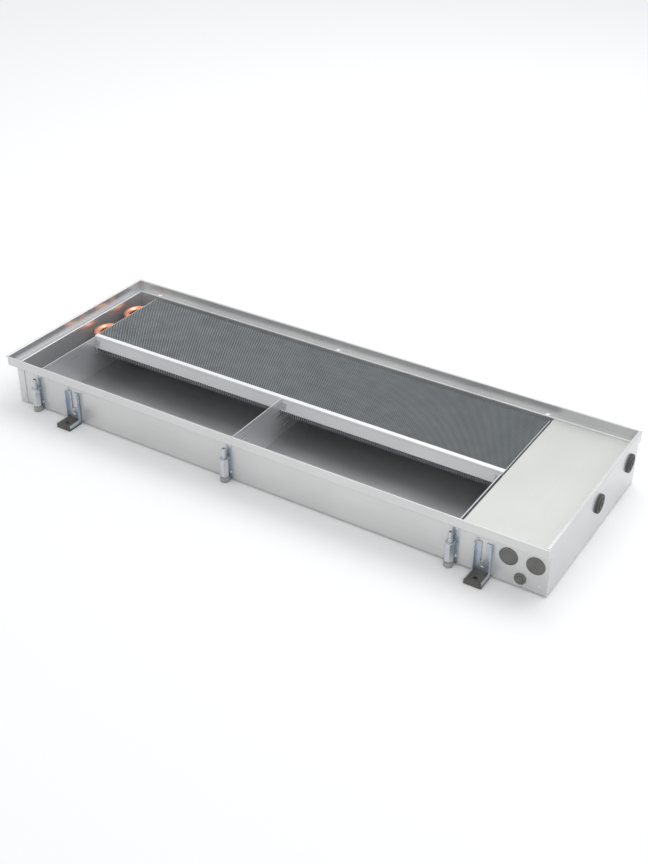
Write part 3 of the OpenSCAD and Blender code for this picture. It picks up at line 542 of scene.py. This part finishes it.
# %% Helpers to start a piece
def start_sheet(name, low, high):
    """A flat blank between two corners that agree on one axis."""
    let_go()
    low, high = Vector(low) * MM, Vector(high) * MM
    span = high - low
    flat = min(range(3), key=lambda axis: abs(span[axis]))
    turn = {0: (0, math.pi / 2, 0), 1: (math.pi / 2, 0, 0), 2: (0, 0, 0)}[flat]
    size = {0: (span.z, span.y, 1), 1: (span.x, span.z, 1), 2: (span.x, span.y, 1)}[flat]
    bpy.ops.mesh.primitive_plane_add(size=1, location=(low + high) / 2, rotation=turn)
    piece = bpy.context.object
    piece.name = name
    piece.scale = size
    settle()
    return piece


def start_block(name, low, high):
    let_go()
    low, high = Vector(low) * MM, Vector(high) * MM
    bpy.ops.mesh.primitive_cube_add(size=1, location=(low + high) / 2)
    piece = bpy.context.object
    piece.name = name
    piece.scale = high - low
    settle()
    return piece


AXIS_TURN = {"+Z": (0, 0, 0), "-Y": (math.pi / 2, 0, 0), "+Y": (-math.pi / 2, 0, 0),
             "+X": (0, math.pi / 2, 0)}


def turned(name, place, axis, rings, sides=32, hollow=False):
    """A turned part: a circle that grows through rings of (radius, height) along its axis.
    A hollow part's last ring meets its first, and a full one is closed at both ends."""
    let_go()
    radius, height = rings[0]
    bpy.ops.mesh.primitive_circle_add(vertices=sides, radius=radius * MM, location=(0, 0, height * MM),
                                      fill_type="NOTHING" if hollow else "NGON")
    piece = bpy.context.object
    piece.name = name
    settle()
    bpy.ops.object.mode_set(mode="EDIT")
    pick("EDGE", (None, None, None))
    for new_radius, new_height in rings[1:]:
        push_edges(0, 0, new_height - height)
        share = new_radius / radius
        bpy.ops.transform.resize(value=(share, share, 1), center_override=(0, 0, new_height * MM))
        radius, height = new_radius, new_height
    if not hollow:
        bpy.ops.mesh.edge_face_add()
    face_outward(weld=True)
    take(piece)
    piece.rotation_euler = AXIS_TURN[axis]
    piece.location = Vector(place) * MM
    settle()
    return piece


# %% Helpers to finish a piece
def apply_all(piece):
    take(piece)
    for modifier in list(piece.modifiers):
        bpy.ops.object.modifier_apply(modifier=modifier.name)


def soften(piece, width, steps=2):
    edge = piece.modifiers.new("soft_edges", "BEVEL")
    edge.width = width * MM
    edge.segments = steps
    edge.limit_method = "ANGLE"
    edge.angle_limit = math.radians(40)
    apply_all(piece)


def thicken(piece, thickness, edge=0.15):
    """Give a folded sheet its thickness about its middle, and take the sharpness off its edges."""
    work_on(piece)
    face_outward(weld=True)
    take(piece)
    wall = piece.modifiers.new("thickness", "SOLIDIFY")
    wall.thickness = thickness * MM
    wall.offset = 0
    wall.use_even_offset = True
    apply_all(piece)
    if edge:
        soften(piece, edge, 1)
    return piece


def combine(piece, operation, *others):
    """Unite the piece with other solids, cut them out of it or keep what is in both. The others
    are used up."""
    for other in others:
        change = piece.modifiers.new("combine", "BOOLEAN")
        change.operation = operation
        change.solver = "EXACT"
        change.object = other
    apply_all(piece)
    for other in others:
        bpy.data.objects.remove(other)


def drill(piece, *rods):
    combine(piece, "DIFFERENCE", *rods)


def copy_of(piece, name, move=(0, 0, 0), to_rear=False):
    """A copy with its own mesh, moved, or mirrored to the rear wall with its faces turned back."""
    twin = piece.copy()
    twin.data = piece.data.copy()
    twin.name = name
    bpy.context.scene.collection.objects.link(twin)
    if to_rear:
        twin.data.transform(Matrix.Scale(-1, 4, (0, 1, 0)))
        twin.data.flip_normals()
    twin.data.transform(Matrix.Translation(Vector(move) * MM))
    return twin


def join(name, *pieces):
    let_go()
    for piece in pieces:
        piece.select_set(True)
    bpy.context.view_layer.objects.active = pieces[0]
    if len(pieces) > 1:
        bpy.ops.object.join()
    pieces[0].name = name
    return pieces[0]


def hand_over(piece, body, slot, finish, *stands_for):
    """The last step for every piece: shading, finish and body; the slot argument is not used. It prints
    what was made.
    """
    take(piece)
    bpy.ops.object.shade_smooth_by_angle(angle=math.radians(35))
    even = piece.modifiers.new("even_shading", "WEIGHTED_NORMAL")
    even.keep_sharp = True
    apply_all(piece)
    piece.data.materials.clear()
    piece.data.materials.append(finish)
    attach(piece, body)
    if stands_for:
        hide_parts(*stands_for)
    shape = bmesh.new()
    shape.from_mesh(piece.data)
    open_edges = sum(1 for e in shape.edges if len(e.link_faces) != 2)
    volume = shape.calc_volume(signed=True) * 1e9
    triangles = sum(len(f.verts) - 2 for f in shape.faces)
    shape.free()
    places = [v.co / MM for v in piece.data.vertices]
    low = [round(min(p[a] for p in places), 1) for a in range(3)]
    high = [round(max(p[a] for p in places), 1) for a in range(3)]
    print(f"{piece.name}: {low} to {high} mm, {triangles} triangles, {volume:.0f} mm3,",
          open_edges, "open edges")
    return piece


def coat(node, finish):
    """Give a CAD node, whose shape is right, its finish."""
    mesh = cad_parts[node].data
    mesh.materials.clear()
    mesh.materials.append(finish)
    print("CAD node", node, "gets", finish.name)


# %% [markdown]
# ## Trough shell
# The real trough is one long sheet with five folds on each side: wall, ledge, rim and a small
# flange at the top. A box with a hollow would miss the thin edges and the fold radii that draw
# the light lines along it. So the floor is a flat blank, each long edge is folded on from the
# last, and the folds are rounded before the sheet gets its thickness.

# %% Trough shell
shell = start_sheet("trough_shell", (-495.5, -WALL_Y, FLOOR_Z), (502, WALL_Y, FLOOR_Z))
work_on(shell)
for side in (-1, 1):
    pick("EDGE", (None, (WALL_Y * side, WALL_Y * side), (2, 3)))
    push_edges(0, 0, LEDGE_Z - FLOOR_Z)
    push_edges(0, LEDGE_WIDTH * side, 0)
    push_edges(0, 0, RIM_HEIGHT)
    push_edges(0, FLANGE * side, 0)
pick("VERT", ((-496, -495), None, (73, 92)))
shift(-SHEET, 0, 0)
pick("EDGE", *[(None, (s * y, s * y), (z, z)) for s in (-1, 1)
               for y, z in ((WALL_Y, FLOOR_Z), (WALL_Y, LEDGE_Z), (LEDGE_Y, LEDGE_Z), (LEDGE_Y, RIM_Z))])
round_fold(1.1)
thicken(shell, SHEET)
jack_x = (-449.75, -48.75, 352.25)
rear_jack_shift = -5
key_places = [(x, -174.75) for x in jack_x] + [(x + rear_jack_shift, 174.75) for x in jack_x]
drill(shell, *[turned("key_hole_drill", (x, y, 72), "+Z", ((3.75, 0), (3.75, 4.5)), 24)
               for x, y in key_places])
hand_over(shell, "trough", "trough_sheet", trough_steel, "trough_pan")

# %% [markdown]
# ## Left end
# The left end plate has its own ledge and rim, which turn the corner for 10 mm and meet the
# long rim in a butt seam. Two laps reach round the corners and are riveted to the long walls.
# The ledge is the blank here, because both the rim and the wall hang on its edges.

# %% Left end
left_end = start_sheet("left_end", (LEFT_LEDGE_X, -LEDGE_Y, LEDGE_Z), (LEFT_WALL_X, LEDGE_Y, LEDGE_Z))
work_on(left_end)
for y in (-LAP_Y, LAP_Y):
    slice_at((0, y, 0), (0, 1, 0))
pick("EDGE", ((LEFT_LEDGE_X, LEFT_LEDGE_X), None, None),
     *[(None, (y, y), None) for y in (-LEDGE_Y, LEDGE_Y)])
push_edges(0, 0, RIM_HEIGHT)
push_edges(-FLANGE, 0, 0)
wall_at, rim_at, tip_at = [(x, x) for x in (LEFT_WALL_X, LEFT_LEDGE_X, LEFT_LEDGE_X - FLANGE)]
inner_tip = LEFT_WALL_X - FLANGE
for side in (-1, 1):
    corner = (LEDGE_Y * side, LEDGE_Y * side)
    pick("VERT", ((inner_tip, inner_tip), corner, None))
    shift(FLANGE, FLANGE * side, 0)
    pick("VERT", (tip_at, corner, None))
    shift(0, FLANGE * side, 0)
pick("EDGE", (wall_at, (-LAP_Y - 0.1, LAP_Y + 0.1), None))
push_edges(0, 0, -1.175)
push_edges(0, 0, -71.2)
pick("EDGE", *[(wall_at, (y, y), (1.5, 72.7)) for y in (-LAP_Y, LAP_Y)])
push_edges(15.375, 0, 0)
pick("VERT", *[(wall_at, ends, None) for ends in ((-182, -LEDGE_Y), (LEDGE_Y, 182))])
shift(-0.7, 0, 0)
pick("EDGE", *[(rim_at, None, (z, z)) for z in (LEDGE_Z, RIM_Z)],
     *[((-506.2, -496), (y, y), (z, z)) for y in (-LEDGE_Y, LEDGE_Y) for z in (LEDGE_Z, RIM_Z)],
     (wall_at, (-LAP_Y - 0.1, LAP_Y + 0.1), (LEDGE_Z, LEDGE_Z)),
     *[(wall_at, (y, y), (1.5, 72.7)) for y in (-LAP_Y, LAP_Y)])
round_fold(1.0)
thicken(left_end, SHEET)
work_on(left_end)
pick("VERT", (None, None, (TOP_Z, TOP_Z + 0.1)))
bpy.ops.transform.resize(value=(1, 1, 0), center_override=(0, 0, TOP_Z * MM))
hand_over(left_end, "trough", "trough_sheet", end_steel, "left_end_plate")

# %% [markdown]
# ## Right end
# The right end plate is flush: it stands across the whole section, closes the rim with two ears,
# and only a narrow band is folded back at its top. A small relief notch parts the band from each
# ear, as a press needs it. Tabs inside the long walls take the rivets. The plate is sliced into
# its outline first, and the waste is deleted.

# %% Right end
END_X = 502.625
outer, ear, notch_out, notch_in, wall = 182, 180, 178.6, 178.1, 170
low_z, ear_z, notch_z, band_z = 1.5, 73.25, 89.5, 90.875
right_end = start_sheet("right_end", (END_X, -outer, low_z), (END_X, outer, TOP_Z))
work_on(right_end)
for y in (ear, notch_out, notch_in, wall):
    slice_at((0, -y, 0), (0, 1, 0))
    slice_at((0, y, 0), (0, 1, 0))
for z in (ear_z, notch_z, 90.25, band_z):
    slice_at((0, 0, z), (0, 0, 1))
waste = [((wall, outer), (low_z, ear_z)), ((ear, outer), (ear_z, 90.25)),
         ((notch_in, notch_out), (notch_z, TOP_Z)), ((-notch_in, notch_in), (band_z, TOP_Z))]
pick("FACE", *[(None, (near, far), height) for (near, far), height in waste],
     *[(None, (-far, -near), height) for (near, far), height in waste])
bpy.ops.mesh.delete(type="FACE")
bpy.ops.mesh.select_all(action="SELECT")
bpy.ops.mesh.dissolve_limited(angle_limit=math.radians(1))
pick("EDGE", (None, (-notch_in, notch_in), (band_z, band_z)))
push_edges(-4.625, 0, 0)
pick("EDGE", ((END_X, END_X), (-notch_in, notch_in), (band_z, band_z)))
round_fold(0.9)
thicken(right_end, SHEET)
end_tabs = []
for side in (-1, 1):
    for low, high in ((9.5, 21.5), (60.5, 71.8)):
        tab = start_sheet("end_tab", (484, 168.125 * side, low), (502.1, 168.125 * side, high))
        end_tabs.append(thicken(tab, 1.2))
join("right_end", right_end, *end_tabs)
tube_y = (8.25, 50.75, 93.25, 135.75)
tube_z = 56.75
drill(right_end, *[turned("entry_drill", (500, y, tube_z), "+X", ((12.7, 0), (12.7, 5)), 32)
                   for y in (tube_y[0], tube_y[3])])
hand_over(right_end, "trough", "trough_sheet", end_steel, "right_end_plate")

# %% [markdown]
# ## Partitions
# Three upright plates cross the trough. They are full height in front and low behind, where the
# exchanger lies on them, and a tab is folded to the side and welded to the deflector. The plate
# is sliced where its outline turns, the waste is deleted, and the corner by the deflector is
# moved to follow the deflector's slope.

# %% Partitions
def partition(name, x, tab_side, node):
    plate = start_sheet(name, (x, -168.75, 2.75), (x, 168.75, 73))
    work_on(plate)
    for y in (-22.2, 153.75):
        slice_at((0, y, 0), (0, 1, 0))
    for z in (32.25, 40.25, 52.25, 55.75, 66.75, 68.75):
        slice_at((0, 0, z), (0, 0, 1))
    pick("FACE", (None, (-22.2, 168.75), (40.25, 73)), (None, (153.75, 168.75), (32.25, 40.25)))
    bpy.ops.mesh.delete(type="FACE")
    for z in (55.75, 66.75, 68.75, 73):
        pick("VERT", (None, (-22.2, -22.2), (z, z)))
        shift(0, 4 * min(1, (z - 52.25) / 16.5), 0)
    pick("EDGE", (None, (-21.5, -18.3), (55.75, 66.75)))
    push_edges(10.6 * tab_side, 0, 0)
    pick("EDGE", ((x, x), (-21.5, -18.3), (55.75, 66.75)))
    round_fold(0.8, 3)
    thicken(plate, SHEET)
    return hand_over(plate, "trough", "inner_sheet", inner_steel, node)


partition("left_divider", -450.125, 1, "left_partition")
partition("middle_divider", -46.75, 1, "middle_partition")
partition("right_divider", 356.625, -1, "right_partition")

# %% [markdown]
# ## Deflector
# One long strip runs along the front of the exchanger. It has a flange over the fins, a short
# upright band, and a face that slopes forward and sends the falling air under the fins. It is
# the brightest line in the photograph, so its two folds need a real radius.

# %% Deflector
flange_z, band_y, band_height = 73.875, -16.875, 5.125
face_height, face_slope = 16.5, 4
deflector = start_sheet("deflector_strip", (-451.75, band_y, flange_z), (358.5, -9, flange_z))
work_on(deflector)
pick("EDGE", (None, (band_y, band_y), None))
push_edges(0, 0, -band_height)
push_edges(0, -face_slope, -face_height)
pick("EDGE", *[(None, (band_y, band_y), (z, z)) for z in (flange_z, flange_z - band_height)])
round_fold(0.9)
thicken(deflector, SHEET)
hand_over(deflector, "trough", "deflector_sheet", deflector_steel, "deflector")

# %% [markdown]
# ## Cover
# The cover is a plain plate that lies in the right end and lifts off by its left edge, where a
# fold stiffens it. The fold is shorter than the plate, so that it passes between the supports.

# %% Cover
cover_x, cover_z, cover_sheet, fold_end = 361.5, 72.75, 1.5, 153.75
cover = start_sheet("cover_lid", (cover_x, -168.25, cover_z), (500.2, 168.25, cover_z))
work_on(cover)
for y in (-fold_end, fold_end):
    slice_at((0, y, 0), (0, 1, 0))
pick("EDGE", ((cover_x, cover_x), (-fold_end, fold_end), None))
push_edges(0, 0, -8.25)
pick("EDGE", ((cover_x, cover_x), (-fold_end, fold_end), (cover_z, cover_z)))
round_fold(1.0)
thicken(cover, cover_sheet)
hand_over(cover, "cover", "cover_sheet", cover_steel, "cover_plate")

# %% [markdown]
# ## Return bends
# Hairpin bends join the copper tubes two by two. A bend is a ring of the tube that is spun half
# a turn about an upright axis, and the wall of the tube is given to it afterwards.

# %% Return bends
bend_x, tube_radius = -461, 7.5
bends = []
for first, second in (tube_y[:2], tube_y[2:]):
    middle = (first + second) / 2
    bend = turned("left_bend", (bend_x, first, tube_z), "+X", ((tube_radius, 0),), 28, hollow=True)
    work_on(bend)
    bpy.ops.mesh.select_all(action="SELECT")
    bpy.ops.mesh.spin(steps=24, angle=math.pi, center=Vector((bend_x, middle, tube_z)) * MM,
                      axis=(0, 0, 1))
    face_outward()
    take(bend)
    wall = bend.modifiers.new("tube_wall", "SOLIDIFY")
    wall.thickness = 1 * MM
    wall.offset = -1
    apply_all(bend)
    bends.append(bend)
hand_over(join("left_bends", *bends), "trough", "copper", copper, "left_return_bends")

# %% [markdown]
# ## Caps and gland
# Two round plugs close spare cable entries in the front wall, and a small gland sits between
# them. They are moulded: a thin lip runs round a flat face that lies a little deeper, and a
# narrower neck snaps into the wall.

# %% Caps and gland
cap_rings = ((12.5, -2.45), (12.9, -2.1), (12.9, 0.02), (14.2, 0.02), (14.5, 0.3), (14.5, 0.85),
             (14.2, 1.2), (13.2, 1.2), (12.9, 1.05), (12.7, 0.6))
caps = [turned("blanking_cap", (x, WALL_FACE, 49), "-Y", cap_rings, 64) for x in (482.25, 440.55)]
hand_over(join("blanking_plugs", *caps), "trough", "grey_plastic", cap_plastic, "blanking_caps")
gland = turned("gland_cap", (461.4, WALL_FACE, 17.7), "-Y",
               ((6.6, -3.75), (7, -3.4), (7, 0.02), (8.8, 0.02), (9.2, 0.4), (9.2, 1.9), (8.7, 2.5),
                (6.2, 2.5), (5.9, 2.0), (5.6, 2.0), (5.4, 2.5), (5.4, 3.2), (5.1, 3.5)), 48)
hand_over(gland, "trough", "grey_plastic", cap_plastic, "cable_gland")

# %% [markdown]
# ## Pipe grommets
# Thick rubber grommets line the two pipe entries. Each has a wide disc outside, a groove round a
# raised boss, and a pilot hole that is cut open for the pipe. The profile goes once round the
# rubber and meets itself, so it is turned as a ring.

# %% Pipe grommets
grommet_rings = ((2.5, -3.0), (2.8, -3.25), (13.9, -3.25), (14.3, -2.9), (14.3, -1.28), (12.6, -1.28),
                 (12.6, 0.02), (15.0, 0.02), (15.5, 0.5), (15.5, 2.9), (15.2, 3.6), (14.5, 4.0),
                 (10.6, 4.0), (10.3, 3.7), (10.2, 3.1), (8.8, 3.1), (8.6, 3.5), (8.5, 5.0), (8.0, 5.5),
                 (3.2, 5.5), (2.5, 5.0), (2.5, -3.0))
grommets = [turned("pipe_grommet", (503.25, y, tube_z), "+X", grommet_rings, 56, hollow=True)
            for y in (tube_y[0], tube_y[3])]
hand_over(join("grommet_pair", *grommets), "trough", "rubber", grommet_rubber, "pipe_grommets")

# %% [markdown]
# ## Rivets
# Blind rivets hold the end plates, the cover supports and the jack brackets. One is modelled,
# with its domed head, the shank in its hole and the tail that spreads behind the sheets, and the
# others are copies with a mesh of their own.

# %% Rivets
def rivet(name, x, z, y, grip, tail=0.65):
    """A rivet of the front wall. Its head sits on y and its tail lies behind the grip."""
    back = ((2.0, -grip - tail), (2.2, -grip - tail + 0.15), (2.2, -grip)) if tail else ()
    return turned(name, (x, y, z), "-Y", back + ((1.6, -grip), (1.6, 0), (2.6, 0), (2.55, 0.4), (2.3, 0.8),
                                                 (1.8, 1.12), (1.0, 1.3)), 20)


def rivets_on_both_walls(name, places, y, grip, rear_shift=0, tail=0.65):
    first = rivet(name, places[0][0], places[0][1], y, grip, tail)
    out = [first]
    for x, z in places[1:]:
        out.append(copy_of(first, name, (x - places[0][0], 0, z - places[0][1])))
    for piece in list(out):
        out.append(copy_of(piece, name, (rear_shift, 0, 0), to_rear=True))
    return out


JACK_SHEET = 1.2
left_rivets = rivets_on_both_walls("end_rivet", [(-487.25, 15.5), (-487.25, 66.5)], WALL_FACE - SHEET,
                                   2 * SHEET)
right_rivets = rivets_on_both_walls("end_rivet", [(490.25, 15.5), (490.25, 66.5)], WALL_FACE, 2 * SHEET)
hand_over(join("end_rivets", *left_rivets, *right_rivets), "trough", "rivet_metal", rivet_metal,
          "end_plate_rivets")
support_rivets = rivets_on_both_walls("support_rivet", [(370.75, 67)], WALL_FACE, 2 * SHEET)
hand_over(join("support_rivets", *support_rivets), "trough", "rivet_metal", rivet_metal,
          "cover_support_rivets")
jack_rivets = rivets_on_both_walls("jack_rivet", [(x + 6.75, z) for x in jack_x for z in (16, 65)],
                                   WALL_FACE - JACK_SHEET, JACK_SHEET + SHEET, rear_jack_shift, tail=0)
hand_over(join("jack_rivets", *jack_rivets), "trough", "rivet_metal", rivet_metal,
          "jack_bracket_rivets")

# %% [markdown]
# ## Jack brackets
# A levelling jack hangs on the wall from a bracket. A narrow plate spreads the load on the wall,
# and a shelf that is folded out of it rests on a long hexagon nut. The nut is six-sided bar whose
# ends are turned, so it is the part that a bar and a turned blank have in common. One jack is
# modelled and copied to the other five places.

# %% Jack brackets
first_x = jack_x[0]
jack_y = WALL_FACE - 8.1
plate_y = WALL_FACE - JACK_SHEET / 2
bore = 4.05
shelf_z, shelf_half, shelf_lip, shelf_sheet = 43.75, 6.5, 5.5, 1.5
shelf = start_sheet("jack_shelf", (first_x - shelf_half, jack_y - shelf_lip, shelf_z),
                    (first_x + shelf_half, plate_y, shelf_z))
work_on(shelf)
pick("VERT", (None, (jack_y - shelf_lip, jack_y - shelf_lip), None))
bpy.ops.mesh.bevel(offset=2 * MM, segments=3, affect="VERTICES")
thicken(shelf, shelf_sheet, 0.2)
drill(shelf, turned("spindle_drill", (first_x, jack_y, 40), "+Z", ((bore, 0), (bore, 8)), 32))

plate_left, tongue_left, tongue_right, plate_right = -8, -0.5, 9.5, 11
notch_half = 4.15
plate_low, notch_top, shoulder, tongue_low, tongue_top = 2.75, 10.5, 44, 49, 68.5
plate = start_sheet("jack_plate", (first_x + plate_left, plate_y, plate_low),
                    (first_x + plate_right, plate_y, tongue_top))
work_on(plate)
for x in (-notch_half, tongue_left, notch_half, tongue_right):
    slice_at((first_x + x, 0, 0), (1, 0, 0))
for z in (notch_top, shoulder, tongue_low):
    slice_at((0, 0, z), (0, 0, 1))
pick("FACE", *[((first_x + low, first_x + high), None, heights) for low, high, heights in (
    (plate_left, tongue_left, (tongue_low, tongue_top)),
    (tongue_right, plate_right, (tongue_low, tongue_top)),
    (-notch_half, notch_half, (plate_low, notch_top)))])
bpy.ops.mesh.delete(type="FACE")
for corner, goal in ((plate_left, tongue_left), (-notch_half, tongue_left), (plate_right, tongue_right)):
    pick("VERT", ((first_x + corner, first_x + corner), None, (tongue_low, tongue_low)))
    shift(goal - corner, 0, 0)
thicken(plate, JACK_SHEET, 0.2)
first_bracket = join("jack_bracket", shelf, plate)


def at_all_jacks(piece):
    """The other five: two more along the front wall, and three mirrored to the rear wall."""
    front = [piece] + [copy_of(piece, piece.name, (x - first_x, 0, 0)) for x in jack_x[1:]]
    return front + [copy_of(twin, piece.name, (rear_jack_shift, 0, 0), to_rear=True) for twin in front]


hand_over(join("jack_clamps", *at_all_jacks(first_bracket)), "trough", "zinc_sheet", zinc_sheet,
          "jack_brackets")
nut_low, nut_length, nut_half = 10.5, 32.5, 6.5
corner_out = nut_half / math.cos(math.radians(30))
nut = turned("jack_nut", (0, 0, 0), "+Z", ((corner_out, -1), (corner_out, nut_length + 1)), 6)
take(nut)
nut.rotation_euler = (0, 0, math.radians(30))
nut.location = Vector((first_x, jack_y, nut_low)) * MM
settle()
blank = turned("turned_blank", (first_x, jack_y, nut_low), "+Z",
               ((6.35, 0), (7.6, 0.7), (7.6, nut_length - 0.7), (6.35, nut_length)), 48)
combine(nut, "INTERSECT", blank)
drill(nut, turned("nut_bore", (first_x, jack_y, 5), "+Z", ((bore, 0), (bore, 45)), 32))
hand_over(join("jack_nuts", *at_all_jacks(nut)), "trough", "zinc_bar", zinc_bar, "jack_sleeves")

# %% [markdown]
# ## Jack feet and spindles
# The installer turns a spindle from above with a hex key, through the hole in the ledge. Its
# thread runs in the long nut and its end turns in a rubber foot, so foot and spindle are moving
# bodies. The thread is one tooth of the profile wound up a turn at a time.

# %% Jack feet and spindles
def thread(name, x, y, low, high, radius, depth, pitch, steps=16):
    """A closed ridge wound round a core. It overlaps the core a little at its root."""
    let_go()
    bpy.ops.mesh.primitive_circle_add(vertices=4, radius=1, fill_type="NOTHING")
    ridge = bpy.context.object
    ridge.name = name
    root, crest = (radius - depth) * MM, radius * MM
    rise = pitch * MM
    profile = ((root, 0), (crest, rise * 0.36), (crest, rise * 0.5), (root, rise * 0.86))
    for corner, (out, up) in zip(ridge.data.vertices, profile):
        corner.co = (out, 0, up)
    winding = ridge.modifiers.new("winding", "SCREW")
    winding.axis = "Z"
    winding.screw_offset = rise
    winding.iterations = int((high - low) / pitch)
    winding.steps = steps
    winding.render_steps = steps
    winding.use_merge_vertices = True
    winding.merge_threshold = 1e-6
    apply_all(ridge)
    work_on(ridge)
    bpy.ops.mesh.select_mode(type="EDGE")
    bpy.ops.mesh.select_all(action="DESELECT")
    bpy.ops.mesh.select_non_manifold()
    bpy.ops.mesh.fill_holes(sides=8)
    face_outward()
    take(ridge)
    ridge.location = Vector((x, y, low)) * MM
    settle()
    return ridge


core = turned("jack_spindle", (first_x, jack_y, 3), "+Z",
              ((3.0, 0), (3.4, 0.4), (3.4, 55.4), (3.7, 56.1), (3.7, 58.1), (3.3, 58.5)), 32)
drill(core, turned("key_socket", (first_x, jack_y, 55.5), "+Z", ((1.732, 0), (1.732, 8)), 6))
ridge = thread("spindle_thread", first_x, jack_y, 4, 58, 4.0, 0.7, 1.25)
first_spindle = join("jack_spindle", core, ridge)
first_foot = turned("jack_foot", (first_x, jack_y, 0), "+Z",
                    ((6.4, 0), (7.2, 0.35), (7.75, 1.0), (7.75, 2.6), (7.45, 2.9), (7.45, 3.3), (7.75, 3.6),
                     (7.75, 6.4), (7.6, 7.3), (7.0, 8.2), (6.1, 8.75), (5.2, 9.0), (4.6, 9.0), (4.08, 8.5),
                     (4.08, 2.9)), 48)
corners = ("fl", "fm", "fr", "rl", "rm", "rr")
for place, foot, spindle in zip(corners, at_all_jacks(first_foot), at_all_jacks(first_spindle)):
    foot.name = "levelling_foot_" + place
    spindle.name = "levelling_spindle_" + place
    hand_over(foot, "jack_foot_" + place, "rubber", foot_rubber, "jack_foot_" + place)
    hand_over(spindle, "jack_spindle_" + place, "zinc_bar", zinc_bar, "jack_spindle_" + place)

# %% [markdown]
# ## Floor anchors
# Four slotted angle brackets fix the trough to the floor. They are pressed from one strip: an
# upright web with a slot, a foot with a hole, and flanges along both sides. The block has its
# open sides deleted, so only the sheet is left, and the slot and the holes are cut after the
# sheet has its thickness. The foot is cased in a dark rubber pad against noise.

# %% Floor anchor brackets
anchor_x = (-370.25, 402.75)
ax = anchor_x[0]
web_half, toe_y, side_y, web_y = 13, -200, -177.8, -171.3
foot_z, side_z, web_top = 3, 9, 58.5
anchor_sheet = 2
bracket = start_block("anchor_bracket", (ax - web_half, toe_y, foot_z), (ax + web_half, web_y, web_top))
work_on(bracket)
slice_at((0, side_y, 0), (0, 1, 0))
slice_at((0, 0, side_z), (0, 0, 1))
pick("FACE", (None, None, (web_top, web_top)), (None, (toe_y, toe_y), None),
     (None, (toe_y, side_y), (side_z, web_top)))
bpy.ops.mesh.delete(type="FACE")
side_planes = [(ax + s, ax + s) for s in (-web_half, web_half)]
pick("EDGE", *[(side, (web_y, web_y), None) for side in side_planes],
     *[(side, None, (foot_z, foot_z)) for side in side_planes], (None, (web_y, web_y), (foot_z, foot_z)))
round_fold(1.4, 3)
thicken(bracket, anchor_sheet, 0.3)
slot_half, slot_low, hole_y, hole_radius = 3.75, 24.75, -192, 3.25
slot = start_block("slot_cutter", (ax - slot_half, -180, slot_low), (ax + slot_half, -165, 70))
slot_end = turned("slot_end", (ax, -165, slot_low), "-Y", ((slot_half, 0), (slot_half, 12)), 32)
floor_hole = turned("floor_hole", (ax, hole_y, 0), "+Z", ((hole_radius, 0), (hole_radius, 9)), 32)
drill(bracket, slot, slot_end, floor_hole)
dimple = turned("dimple", (ax, -172.2, 14), "-Y",
                ((3.0, -0.5), (3.0, 0), (2.6, 0.6), (1.8, 0.95), (0.8, 1.05)), 28)
first_anchor = join("anchor_bracket", bracket, dimple)

# %% Floor anchor pads
pad_half, pad_front, pad_rear, pad_top = 14, -202.5, -172.4, 8.5
pad = start_block("anchor_pad", (ax - pad_half, pad_front, 0), (ax + pad_half, pad_rear, 1.95))
lip = start_block("pad_lip", (ax - pad_half, pad_front, 1), (ax + pad_half, -201.05, pad_top))
top = start_block("pad_top", (ax - 11.95, -202, 4.05), (ax + 11.95, pad_rear, pad_top))
combine(pad, "UNION", lip, top)
drill(pad, turned("floor_hole", (ax, hole_y, -1), "+Z", ((hole_radius, 0), (hole_radius, 11)), 32))
soften(pad, 0.35, 2)


def at_all_anchors(piece):
    front = [piece, copy_of(piece, piece.name, (anchor_x[1] - ax, 0, 0))]
    return front + [copy_of(twin, piece.name, (0, 0, 0), to_rear=True) for twin in front]


anchor_corners = ("fl", "fr", "rl", "rr")
for place, metal, rubber in zip(anchor_corners, at_all_anchors(first_anchor), at_all_anchors(pad)):
    metal.name = "floor_bracket_" + place
    rubber.name = "floor_pad_" + place
    hand_over(metal, "anchor_" + place, "zinc_sheet", zinc_sheet, "anchor_bracket_" + place)
    hand_over(rubber, "anchor_" + place, "rubber", pad_rubber, "anchor_pad_" + place)

# %% [markdown]
# ## Clamp studs and stops
# A stud of the wall passes through the slot of each anchor, and a small rivet over the bracket
# keeps it from rising out of place.

# %% Clamp studs and stops
stud = turned("clamp_stud", (ax, -172.8, slot_low), "-Y",
              ((2.6, -9.8), (3.0, -9.4), (3.0, -0.3), (2.7, 0)), 32)
hand_over(join("clamp_studs", *at_all_anchors(stud)), "trough", "zinc_bar", zinc_bar, "anchor_screws")
stop = turned("anchor_stop", (ax - 10.5, WALL_FACE, 61), "-Y",
              ((1.6, -1.25), (1.6, 0.02), (2.2, 0.02), (2.2, 1.0), (1.9, 1.5), (1.3, 1.8)), 20)
hand_over(join("anchor_stops", *at_all_anchors(stop)), "trough", "zinc_bar", zinc_bar, "anchor_stops")

# %% [markdown]
# ## Parts kept from the construction model
# The fins, tubes, connectors, rail, supports and nuts already have their right shape, so they
# only get their finishes.

# %% Finishes of the construction parts
coat("fin_pack", fin_metal)
for node in ("heat_tubes", "right_return_bend"):
    coat(node, copper)
for node in ("supply_connector", "return_connector", "vent_body"):
    coat(node, brass)
for node in ("vent_screw", "rail_rivets"):
    coat(node, rivet_metal)
coat("exchanger_end_plates", fin_metal)
for node in ("rear_rail", "cover_supports"):
    coat(node, inner_steel)
coat("anchor_nuts", zinc_bar)
